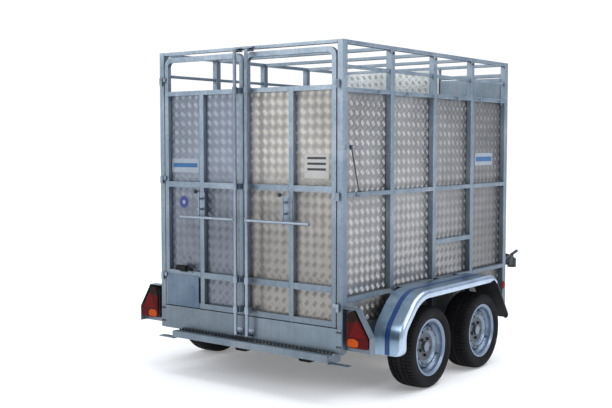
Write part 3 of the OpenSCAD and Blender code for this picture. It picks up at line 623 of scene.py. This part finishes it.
def build_hardware():
    """Fasteners, hinges, rods, levers and other small hardware with rounded edges."""
    for node in ("door_hinge_pins", "door_left_hardware", "door_right_hardware", "rod_keepers"):
        rounded(node, 1.0, bright)
    for node in ("lock_rod_left", "lock_rod_right"):
        rounded(node, 0.8, bright)
    for node, material in (("frame_bolts", bolt_dark), ("side_fittings", zinc), ("jockey_crank", bright),
                           ("door_stay_left", bolt_dark), ("door_stay_right", bolt_dark)):
        rounded(node, 0.8, material)
    for node in ("jockey_outer_tube", "jockey_leg", "jockey_fork", "coupling_housing"):
        rounded(node, 1.2, zinc)
    for node in ("coupling_head", "coupling_lever", "handbrake_lever"):
        rounded(node, 2.0, casting, segments=3)
    rounded("front_door_latch", 1.2, casting)
    rounded("anti_tip_feet", 3.0, moulded_rubber, segments=3)
    rounded("plate_light", 3.0, moulded_rubber, segments=3)
    for place in WHEELS:
        rounded("arm_" + place, 2.0, axle_zinc)


def dress_grating():
    """The grating's CAD shape is right as it is, and takes a finished material."""
    materials = frame["nodes"]["step_grating"].data.materials
    materials.clear()
    materials.append(grating)


# ---------------------------------------------------------------- swept and turned shapes

def rounded_path(points, radii, step, closed=False):
    """(place, normal) along a path of right turns with rounded corners. The normals point left of it."""
    points = [Vector(p) for p in points]
    count = len(points)
    corners = range(count) if closed else range(1, count - 1)
    out = []

    def left(d):
        return Vector((-d.y, d.x))

    if not closed:
        out.append((points[0], left((points[1] - points[0]).normalized())))
    for i, radius in zip(corners, radii):
        d0 = (points[i] - points[i - 1]).normalized()
        d1 = (points[(i + 1) % count] - points[i]).normalized()
        turn = d0.angle(d1)
        start = points[i] - d0 * radius * math.tan(turn / 2)
        centre = start - left(d0) * radius
        bits = max(2, round(math.degrees(turn) / step))
        base = math.atan2(left(d0).y, left(d0).x)
        for k in range(bits + 1):
            n = Vector((math.cos(base - turn * k / bits), math.sin(base - turn * k / bits)))
            out.append((centre + n * radius, n))
    if not closed:
        out.append((points[-1], left((points[-1] - points[-2]).normalized())))
    return out


def with_stops(path, stops):
    """The same path with more points, at distances from its start, or from its end if negative."""
    runs = [0.0]
    for (a, _), (b, _) in zip(path, path[1:]):
        runs.append(runs[-1] + (b - a).length)
    out = [(run, *at_path) for run, at_path in zip(runs, path)]
    for stop in stops:
        run = stop if stop >= 0 else runs[-1] + stop
        i = max(k for k in range(len(runs) - 1) if runs[k] <= run)
        share = (run - runs[i]) / (runs[i + 1] - runs[i])
        if 0.001 < share < 0.999:
            out.append((run, path[i][0].lerp(path[i + 1][0], share), path[i][1].lerp(path[i + 1][1], share)))
    return sorted(out, key=lambda o: o[0])


def skin(bm, rings, looped=False, marks=None):
    """Joins rings of places with faces. An open row of rings gets an end face on each side."""
    rows = [[bm.verts.new(p) for p in ring] for ring in rings]
    size = len(rows[0])
    pairs = list(zip(rows, rows[1:])) + ([(rows[-1], rows[0])] if looped else [])
    for a, b in pairs:
        for i in range(size):
            j = (i + 1) % size
            face = bm.faces.new((a[i], a[j], b[j], b[i]))
            face.material_index = marks[i] if marks else 0
    if not looped:
        bm.faces.new(rows[0][::-1])
        bm.faces.new(rows[-1])
    return rows


def turned(profile, middle, axis="X", segments=64):
    """A solid turned about the X or Y line through a place, from an outline of (along, radius) in mm."""
    bm = bmesh.new()
    rings = []
    for k in range(segments):
        c, t = math.cos(2 * math.pi * k / segments), math.sin(2 * math.pi * k / segments)
        ring = []
        for along, radius in profile:
            spot = (along, radius * c, radius * t) if axis == "X" else (radius * t, along, radius * c)
            ring.append(middle + Vector(spot) * MM)
        rings.append(ring)
    skin(bm, rings, looped=True)
    bmesh.ops.remove_doubles(bm, verts=bm.verts, dist=1e-6)
    return bm


def prism(outline, y_back, y_front, round_over, segments=3):
    """A plate with a given outline (x, z) in body coordinates and a rounded rear edge."""
    bm = bmesh.new()
    back = [bm.verts.new(at(x, y_back, z)) for x, z in outline]
    front = [bm.verts.new(at(x, y_front, z)) for x, z in outline]
    face = bm.faces.new(front)
    bm.faces.new(back[::-1])
    for i in range(len(outline)):
        j = (i + 1) % len(outline)
        bm.faces.new((back[i], back[j], front[j], front[i]))
    bmesh.ops.recalc_face_normals(bm, faces=bm.faces)
    bevel(bm, face.edges, round_over, segments, 0.5)
    return bm


def block(bm, lo, hi):
    """Adds a block between two corners in body coordinates, and gives its points."""
    lo, hi = at(*lo), at(*hi)
    points = bmesh.ops.create_cube(bm, size=1)["verts"]
    for v in points:
        v.co = Vector([lo[i] if v.co[i] < 0 else hi[i] for i in range(3)])
    return points


def box_piece(name, lo, hi, material, body, slot, soft=0.5):
    """A block with its edges broken."""
    bm = bmesh.new()
    block(bm, lo, hi)
    bevel(bm, bm.edges, soft)
    return piece(name, mesh_from(bm, name), [material], body, slot)


# ---------------------------------------------------------------- fenders

FENDER_REAR, FENDER_KNEE, FENDER_TOP, FENDER_FRONT = 255, 436, 646, 1485
FENDER_LOW_REAR, FENDER_LOW_FRONT = 275, 308
REAR_SLOPE, FRONT_SLOPE = math.radians(44), math.radians(35.5)
LIP_RADIUS, LIP_DEPTH, FRONT_LIP_DEPTH, SHEET = 25, 51, 16, 2
# Radius of the sheet's corners at its feet, as seen square to the sheet
FOOT_CORNER = 48
# Where the lip starts to get shallower, how far on it is shallowest, and where its black painted shade
# starts
FADE_FROM, FADE_LENGTH, LIP_SHADE_FROM = 1405, 120, 1515
FENDER_STAYS = (600, 1082, 1350)
STAY_HALF, STAY_LOW = 2.8, 612.2
STRIPE_IN, STRIPE_OUT = 895, 930


def fender_path():
    """The crown's line from the rear foot over both wheels to the front foot."""
    high = FENDER_REAR + (FENDER_TOP - FENDER_KNEE) * math.tan(REAR_SLOPE)
    foot = FENDER_FRONT + (FENDER_TOP - FENDER_LOW_FRONT) * math.tan(FRONT_SLOPE)
    return rounded_path([(FENDER_REAR, FENDER_LOW_REAR), (FENDER_REAR, FENDER_KNEE), (high, FENDER_TOP),
                         (FENDER_FRONT, FENDER_TOP), (foot, FENDER_LOW_FRONT)], (160, 290, 140), step=3)


def fender_section(out, depth):
    """Outline of the sheet, as (x, outward): the crown, the rolled lip and its fold, then back inside."""
    lip = [(math.sin(a), math.cos(a)) for a in np.linspace(0, math.pi / 2, 9)]
    fold = [(math.cos(a), -math.sin(a)) for a in np.linspace(0, math.pi * 0.8, 6)]
    drop = -0.45
    roll = min(LIP_RADIUS, depth - 7)
    inside = fender_in + 0.2
    outer = [(inside, drop), (inside + 40, drop), (out - 62, drop)]
    outer += [(out - roll + roll * u, drop - roll + roll * v) for u, v in lip]
    outer += [(out - 5 + 5 * u, -depth + 5 + 5 * v) for u, v in fold]
    thin = roll - SHEET
    inner = [(out - 5 + 3 * u, -depth + 5 + 3 * v) for u, v in fold[::-1]]
    inner += [(out - roll + thin * u, drop - roll + thin * v) for u, v in lip[::-1]]
    inner += [(inside, drop - SHEET)]
    return outer + inner, len(outer)


def build_fenders():
    """Two tandem fenders with rounded feet, stays to the body and a stripe each."""
    near_foot = [1, 3, 7, 13, 21, 32, 46]
    path = with_stops(fender_path(), near_foot + [-run for run in near_foot])
    total = path[-1][0]

    def across(section, p, n):
        return [at(side * x, p.x + n.x * h, p.y + n.y * h) for x, h in section]

    for side, word in SIDES:
        bm = bmesh.new()
        rings = []
        for run, p, n in path:
            left = FOOT_CORNER - min(run, total - run)
            inset = FOOT_CORNER - math.sqrt(FOOT_CORNER ** 2 - left ** 2) if left > 0 else 0
            share = min(max((p.x - FADE_FROM) / FADE_LENGTH, 0), 1)
            depth = LIP_DEPTH + (FRONT_LIP_DEPTH - LIP_DEPTH) * share * share * (3 - 2 * share)
            section, outside = fender_section(fender_out - inset * 0.8, depth)
            rings.append(across(section, p, n))
        # the lip takes its paler painted highlight; the inside takes black painted shade, and so does the
        # lip on the front leg
        skin(bm, rings, marks=[0] * 3 + [2] * (outside - 3) + [1] * (len(section) - outside))
        for f in bm.faces:
            if f.material_index == 2 and f.calc_center_median().y > at(0, LIP_SHADE_FROM, 0).y:
                f.material_index = 1
        for y in FENDER_STAYS:
            stay = block(bm, (side * (half_w + 0.6), y - STAY_HALF, STAY_LOW),
                         (side * (fender_out - 72), y + STAY_HALF, FENDER_TOP - 2.7))
            for f in {f for v in stay for f in v.link_faces}:
                f.material_index = 1
        name = "fender_" + word
        piece(name, mesh_from(bm, name), [fender_zinc, fender_shade_black, lip_highlight], "trailer", "fender_steel",
              ["fenders"])
        bm = bmesh.new()
        strip = [(STRIPE_IN, -0.6), (STRIPE_IN, -0.15), (STRIPE_IN + 1, -0.05),
                 (STRIPE_OUT - 1, -0.05), (STRIPE_OUT, -0.15), (STRIPE_OUT, -0.6)]
        skin(bm, [across(strip, p, n) for run, p, n in path if 2 < run < total - 2])
        name = "stripe_" + word
        piece(name, mesh_from(bm, name), [stripe_blue], "trailer", "fender_steel")


# ---------------------------------------------------------------- wheels

TREAD_PITCHES = 64
# Where a pitch's land and its cross groove start and end
TREAD_STOPS = (0.0, 0.66, 0.72, 0.94)
# Half of a tyre's outline as (across, radius, depth of the cross grooves)
TYRE_HALF = [
    (0, 262.3, 0), (12.5, 262.2, 0), (14, 255.5, 0), (20.5, 255.5, 0), (22, 262.0, 0), (23.5, 261.9, 4.5),
    (45.5, 261.5, 4.5), (47, 261.4, 0), (48.5, 254.9, 0), (55, 254.6, 0), (56.5, 260.8, 0),
    (58, 260.6, 5), (69, 259.0, 5), (79, 256.0, 4.5), (86.5, 251.0, 3.5), (91.5, 244.5, 1.5), (94.6, 236, 0),
    (96.6, 228, 0), (97.4, 225.6, 0), (97.4, 223.6, 0), (96.8, 222, 0), (96.2, 214, 0), (94.2, 205, 0),
    (94.6, 204, 0), (94.3, 202.6, 0), (93.2, 201.6, 0), (90, 195.5, 0), (86.6, 190.8, 0), (85.8, 187.6, 0),
    (84, 185.6, 0), (80.2, 183.6, 0), (79, 178, 0), (77.5, 170, 0), (76, 166.5, 0), (62, 166.5, 0),
    (66, 190, 0), (85.5, 222, 0), (77.5, 240, 0), (52.5, 249, 0),
]


def build_tyre(place, middle):
    """A tyre with grooves round it, cross grooves in its shoulders and a bead on each side."""
    profile = TYRE_HALF + [(-x, r, d) for x, r, d in TYRE_HALF[:0:-1]]
    steps = TREAD_PITCHES * len(TREAD_STOPS)
    rings = []
    for k in range(steps):
        pitch, stop = divmod(k, len(TREAD_STOPS))
        ring = []
        for x, r, depth in profile:
            slant = 0.0002 * x if r > 250 or (depth > 0 and r > 240) else 0.0
            angle = 2 * math.pi * (pitch + TREAD_STOPS[stop]) / TREAD_PITCHES + slant
            radius = r - (depth if stop >= 2 else 0)
            ring.append(middle + Vector((x, radius * math.cos(angle), radius * math.sin(angle))) * MM)
        rings.append(ring)
    bm = bmesh.new()
    skin(bm, rings, looped=True)
    name = "tyre_%s_treaded" % place
    node = "tyre_" + place
    piece(name, mesh_from(bm, name), [tyre_rubber], body_of[node], slot_of[node], [node], smooth=30)


PAINT, SEAT, DRUM, CAP, VALVE, NUT = range(6)


def rim_materials(part, middle, side):
    """(face, material) for one solid of a rim, which is told by its size and its place on the wheel."""
    places = np.array([v.co - middle for f in part for v in f.verts]) / MM
    across = places[:, 0] * side
    radius = np.hypot(places[:, 1], places[:, 2])
    small = (places.max(0) - places.min(0)).max() < 40
    away = math.hypot(*places.mean(0)[1:])
    for f in part:
        c = (f.calc_center_median() - middle) / MM
        r = math.hypot(c.y, c.z)
        if small:
            yield f, VALVE if away > 100 else NUT
        elif radius.max() > 150:
            yield f, PAINT
        elif radius.max() > 140 and radius.min() > 130:
            yield f, VALVE
        elif radius.max() > 140:
            yield f, SEAT if r < 84 else PAINT
        elif across.min() < -60:
            yield f, CAP if c.x * side > 33 and r < 33 else DRUM
        else:
            yield f, DRUM


def build_rim(place, middle):
    """The CAD rim with rounded edges: silver barrel and disc, dark drum, seats and nuts darkened as painted
    shade, grey cap.
    """
    node = "rim_" + place
    side = 1 if middle.x > 0 else -1
    bm = joined_faces(node)
    bevel(bm, sharp_convex(bm, 30), 0.9)
    for part in islands(bm):
        for face, material in rim_materials(part, middle, side):
            face.material_index = material
    name = node + "_finished"
    piece(name, mesh_from(bm, name), [wheel_paint, seat_dark, drum_dark, cap_grey, moulded_rubber, nut_dark],
          body_of[node], slot_of[node], [node], smooth=40)


def build_wheels():
    """Tyres and rims on the four CAD wheels."""
    for place in WHEELS:
        lo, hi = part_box("tyre_" + place)
        middle = (lo + hi) / 2
        build_tyre(place, middle)
        build_rim(place, middle)


# ---------------------------------------------------------------- lamps

def rounded_outline(points, radii):
    """A closed outline with its corners rounded, from corners that turn left."""
    return [(p.x, p.y) for p, _ in rounded_path(points[::-1], radii[::-1], closed=True, step=9)]


# Heights where the lens turns from the smoked top to red, and from red to the lower red
LENS_SMOKED_FROM, LENS_LOW_UNDER = 508, 408


def build_lamps():
    """Tail lamps in their brackets and the round side markers."""
    inner = half_w + 30
    housing = rounded_outline([(0, 352), (162, 352), (162, 420), (68, 573), (0, 573)], (14, 26, 18, 14, 46))
    lens_outline = rounded_outline([(3, 354), (159, 354), (159, 419), (66, 571), (3, 571)],
                                   (34, 26, 16, 13, 44))
    amber = rounded_outline([(12, 358), (90, 364), (90, 400), (62, 412), (12, 408)], (20, 16, 22, 24, 22))
    sign = rounded_outline([(24, 420), (140, 420), (76, 530)], (6, 6, 6))
    for side, word in SIDES:
        def placed(outline):
            return [(side * (inner + x), z) for x, z in outline]

        def lamp_piece(name, bm, materials, slot, stands_for=()):
            return piece(name, mesh_from(bm, name), materials, "trailer", slot, stands_for)

        lamp_piece("lamp_shell_" + word, prism(placed(housing), 43.8, 6.2, 3), [plastic], "black_plastic",
                   ["lamp_housings"])
        bm = prism(placed(lens_outline), 6.0, -8.6, 6, 4)
        for z in (LENS_SMOKED_FROM, LENS_LOW_UNDER):
            bmesh.ops.bisect_plane(bm, geom=list(bm.verts) + list(bm.edges) + list(bm.faces),
                                   plane_co=at(0, 0, z), plane_no=(0, 0, 1))
        for f in bm.faces:
            z = f.calc_center_median().z / MM
            f.material_index = 1 if z > LENS_SMOKED_FROM else 2 if z < LENS_LOW_UNDER else 0
        lamp_piece("lamp_red_" + word, bm, [lens_red, lens_smoked, lens_low], "lens_red",
                   ["lamp_lenses_red"])
        lamp_piece("lamp_amber_" + word, prism(placed(amber), -7.0, -9.9, 2.6, 4), [lens_amber],
                   "lens_amber", ["lamp_lenses_amber"])
        lamp_piece("lamp_sign_" + word, prism(placed(sign), -8.4, -9.6, 1.0, 2), [lens_bright], "lens_red")
        marker = at(side * (half_w + 0.4), 2136, 471)
        base = [(0, 0), (0, 31.8), (2.4, 31.8), (3.4, 30.8), (3.4, 0)]
        dome = [(3.5, 0), (3.5, 28.5), (6, 28.2), (8.5, 26), (10.4, 21), (11.6, 12), (11.9, 0)]
        for name, shape, material, slot in (("marker_base_", base, plastic, "black_plastic"),
                                            ("marker_lens_", dome, lens_marker, "lens_red")):
            bm = turned([(side * a, r) for a, r in shape], marker)
            lamp_piece(name + word, bm, [material], slot, ["side_markers"] if name == "marker_lens_" else ())


# ---------------------------------------------------------------- small parts that the doors and sides carry

# Outer faces of the leaves' plates and of the right wall's plate
LEAF_FACE, WALL_FACE = 30.2, 720.4
# How far the back and the front of a plain plate stand off the face, and those of the marks on it
PLATE_OFF, MARK_OFF = (0.6, 1.4), (1.5, 1.9)


def leaf_plate(name, xs, zs, off, material, body, soft=0.5):
    """A thin plate on a leaf, over a stretch of x and of z."""
    box_piece(name, (xs[0], LEAF_FACE - off[1], zs[0]), (xs[1], LEAF_FACE - off[0], zs[1]), material, body,
              "tread_plate", soft)


def wall_plate(name, ys, zs, off, material):
    """A thin plate on the right wall, over a stretch of y and of z."""
    box_piece(name, (WALL_FACE + off[0], ys[0], zs[0]), (WALL_FACE + off[1], ys[1], zs[1]), material,
              "trailer", "tread_plate")


def build_fittings():
    """Plain plates where the real ones carry print, a plain disc, and the plate light's wires."""
    leaf_plate("badge_left", *BADGE_LEFT, PLATE_OFF, film_pale, "door_left")
    leaf_plate("badge_left_band", (-664, -440), (1398, 1426), MARK_OFF, film_blue, "door_left")
    leaf_plate("sign_right", *SIGN_RIGHT, PLATE_OFF, film_grey, "door_right")
    for k, z in enumerate((1462, 1428, 1394)):
        leaf_plate("sign_bar_%d" % k, (478, 618), (z, z + 14), MARK_OFF, film_black, "door_right", soft=0.15)
    wall_plate("badge_side", *BADGE_SIDE, PLATE_OFF, film_pale)
    wall_plate("badge_side_band", (1747, 1996), (1425, 1460), MARK_OFF, film_blue)
    disc = [(0, 0), (0, DISC_RADIUS), (-0.8, DISC_RADIUS), (-0.8, 0)]
    ring = [(-0.9, 0), (-0.9, 13), (-1.3, 13), (-1.3, 0)]
    for name, shape, material in (("disc_left", disc, film_violet), ("disc_left_centre", ring, film_pale)):
        bm = turned(shape, at(DISC_X, LEAF_FACE - 0.6, DISC_Z), axis="Y")
        piece(name, mesh_from(bm, name), [material], "door_left", "tread_plate")
    # two short wires from the plate light into the leaf
    for k, (dz, reach) in enumerate(((6, 34), (-8, 42))):
        points = [at(-502, -18, 726 + dz * 0.3), at(-490, -22, 726 + dz), at(-480, -16, 722 + dz),
                  at(-502 + reach, -5, 712 + dz * 1.6), at(-498 + reach, 2, 706 + dz * 1.6)]
        wire("plate_light_wire_%d" % k, points, 1.9, moulded_rubber, "door_left", "black_plastic")


def wire(name, points, radius, material, body, slot):
    """A round wire along a smooth line through points."""
    dense = []
    for i in range(len(points) - 1):
        p0, p1 = points[max(i - 1, 0)], points[i]
        p2, p3 = points[i + 1], points[min(i + 2, len(points) - 1)]
        for t in np.linspace(0, 1, 8, endpoint=i == len(points) - 2):
            dense.append(0.5 * (2 * p1 + (p2 - p0) * t + (2 * p0 - 5 * p1 + 4 * p2 - p3) * t ** 2
                                + (3 * p1 - p0 - 3 * p2 + p3) * t ** 3))
    rings = []
    for i, p in enumerate(dense):
        d = (dense[min(i + 1, len(dense) - 1)] - dense[max(i - 1, 0)]).normalized()
        u = d.cross(Vector((0, 0.3, 1))).normalized()
        v = d.cross(u)
        rings.append([p + (u * math.cos(a) + v * math.sin(a)) * radius * MM
                      for a in np.linspace(0, 2 * math.pi, 12, endpoint=False)])
    bm = bmesh.new()
    skin(bm, rings)
    return piece(name, mesh_from(bm, name), [material], body, slot)


def build_handle_bolts():
    """Sliding bolts with a black knob."""
    for word in ("left", "right"):
        node = "handle_bolt_" + word
        bm = joined_faces(node)
        lo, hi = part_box(node)
        knob = Vector(((lo.x + hi.x) / 2, at(0, -70, 0).y, at(0, 0, 1244).z))
        bevel(bm, sharp_convex(bm), 0.6)
        for f in bm.faces:
            f.material_index = int((f.calc_center_median() - knob).length < 14.6 * MM)
        name = node + "_finished"
        piece(name, mesh_from(bm, name), [bright, plastic], body_of[node], slot_of[node], [node])


def build_drawbar_parts():
    """Gaiter with rounded folds, and the jockey wheel with its tyre and hub."""
    lo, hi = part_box("coupling_gaiter")
    middle = Vector(((lo.x + hi.x) / 2, lo.y, (lo.z + hi.z) / 2))
    length = (hi.y - lo.y) / MM
    folds = 6
    outline = [(0, 28), (0, 36)]
    for i in range(folds * 8 + 1):
        a = i / 8
        outline.append((2.5 + a * (length - 5) / folds, 36.2 - 3.4 * math.cos(2 * math.pi * a)))
    outline += [(length, 36), (length, 28)]
    bm = turned(outline, middle, axis="Y")
    piece("gaiter_folds", mesh_from(bm, "gaiter_folds"), [moulded_rubber], "trailer", "black_rubber",
          ["coupling_gaiter"])
    lo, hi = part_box("jockey_wheel")
    middle = (lo + hi) / 2
    radius = (hi.z - lo.z) / 2 / MM - 0.1
    half = (hi.x - lo.x) / 2 / MM
    tyre = [(12, radius - 34), (half - 3, radius - 33), (half - 0.2, radius - 22), (half - 2, radius - 9),
            (half - 9, radius - 2), (half - 17, radius)]
    tyre = tyre + [(-x, r) for x, r in tyre[::-1]]
    hub = [(half - 2, 7.2), (half - 2, 16), (half - 8, 18), (9, 24), (5, 58), (11, radius - 34.2)]
    hub = hub + [(-x, r) for x, r in hub[::-1]]
    for name, shape, material, node in (("jockey_tyre", tyre, moulded_rubber, ["jockey_wheel"]),
                                        ("jockey_hub", hub, hub_grey, ())):
        bm = turned(shape, middle, segments=72)
        piece(name, mesh_from(bm, name), [material], "jockey_wheel", "black_rubber", node)


# ---------------------------------------------------------------- stage

# The camera's place in metres, from the middle of the body's rear face, its tilt and its lens in mm
CAMERA_RIGHT, CAMERA_BEHIND, CAMERA_UP = 4.0068, 4.5985, 1.5548
CAMERA_TILT = math.radians(86.408)
CAMERA_LENS = 56.39


def build_floor():
    """A wide pale floor that glows a little, so that it stays as pale as its background."""
    bm = bmesh.new()
    bmesh.ops.create_circle(bm, cap_ends=True, segments=96, radius=70)
    floor = bpy.data.objects.new("floor", mesh_from(bm, "floor"))
    scene.collection.objects.link(floor)
    s = Shader("floor_white", Roughness=0.9, Specular_IOR_Level=0.1, Emission_Strength=0.22)
    s.set("Base Color", s.mix(s.noise(0.8, 3), (0.80, 0.80, 0.80), (0.83, 0.83, 0.83)))
    s.set("Emission Color", (1.0, 1.0, 1.0))
    floor.data.materials.append(s.material)


def build_camera():
    """The camera behind the right rear corner."""
    camera = bpy.data.objects.new("camera", bpy.data.cameras.new("camera"))
    scene.collection.objects.link(camera)
    camera.data.lens = CAMERA_LENS
    camera.data.clip_end = 200
    camera.location = (CAMERA_RIGHT, rear - CAMERA_BEHIND, CAMERA_UP)
    camera.rotation_euler = (CAMERA_TILT, 0, VIEW_TURN)
    scene.camera = camera
    scene.view_settings.view_transform = "Standard"


def build_sky():
    """A sky that is paler overhead, with a white wall behind the trailer."""
    world = bpy.data.worlds.new("studio")
    scene.world = world
    world.use_nodes = True
    tree = world.node_tree
    tree.nodes.clear()
    new, link = tree.nodes.new, tree.links.new
    coord = new("ShaderNodeTexCoord").outputs["Generated"]
    split = new("ShaderNodeSeparateXYZ")
    ramp = new("ShaderNodeValToRGB")
    ahead = new("ShaderNodeVectorMath")
    wall = new("ShaderNodeMapRange")
    mix = new("ShaderNodeMix")
    back = new("ShaderNodeBackground")
    out = new("ShaderNodeOutputWorld")
    link(coord, split.inputs[0])
    link(split.outputs["Z"], ramp.inputs[0])
    ahead.operation = "DOT_PRODUCT"
    link(coord, ahead.inputs[0])
    ahead.inputs[1].default_value = (-math.sin(VIEW_TURN), math.cos(VIEW_TURN), 0)
    wall.interpolation_type = "SMOOTHSTEP"
    link(ahead.outputs["Value"], wall.inputs["Value"])
    wall.inputs["From Min"].default_value = 0.78
    wall.inputs["From Max"].default_value = 0.90
    mix.data_type = "RGBA"
    link(wall.outputs[0], mix.inputs["Factor"])
    link(ramp.outputs[0], mix.inputs[6])
    mix.inputs[7].default_value = (1.05, 1.05, 1.05, 1)
    link(mix.outputs[2], back.inputs[0])
    link(back.outputs[0], out.inputs[0])
    stops = [(0.0, (0.24, 0.26, 0.29)), (0.10, (0.33, 0.38, 0.45)), (0.35, (0.42, 0.50, 0.62)),
             (0.7, (0.62, 0.70, 0.82)), (1.0, (0.85, 0.90, 0.96))]
    ramp.color_ramp.elements.remove(ramp.color_ramp.elements[1])
    for i, (place, colour) in enumerate(stops):
        e = ramp.color_ramp.elements[0] if i == 0 else ramp.color_ramp.elements.new(place)
        e.position = place
        e.color = (*colour, 1)


def softbox(name, place, watts):
    """A square, slightly warm area light that faces the middle of the trailer."""
    light = bpy.data.lights.new(name, "AREA")
    light.shape = "RECTANGLE"
    light.size, light.size_y = 4, 4
    light.energy = watts
    light.color = (1.0, 0.97, 0.93)
    obj = bpy.data.objects.new(name, light)
    scene.collection.objects.link(obj)
    obj.location = place
    obj.rotation_euler = (Vector((0, 0, 1)) - Vector(place)).to_track_quat("-Z", "Y").to_euler()


def build_lights():
    """Two softboxes and a broad light from overhead."""
    softbox("softbox_rear", (-4, -9, 6), 320)
    softbox("softbox_side", (9, -2, 6), 260)
    overhead = bpy.data.objects.new("overhead", bpy.data.lights.new("overhead", "SUN"))
    scene.collection.objects.link(overhead)
    overhead.data.energy = 1.7
    overhead.data.angle = math.radians(60)
    overhead.rotation_euler = (math.radians(-12), math.radians(10), 0)


build_frames()
build_treads()
build_hardware()
build_fenders()
build_wheels()
build_lamps()
build_handle_bolts()
build_fittings()
build_drawbar_parts()
dress_grating()
build_floor()
build_camera()
build_sky()
build_lights()
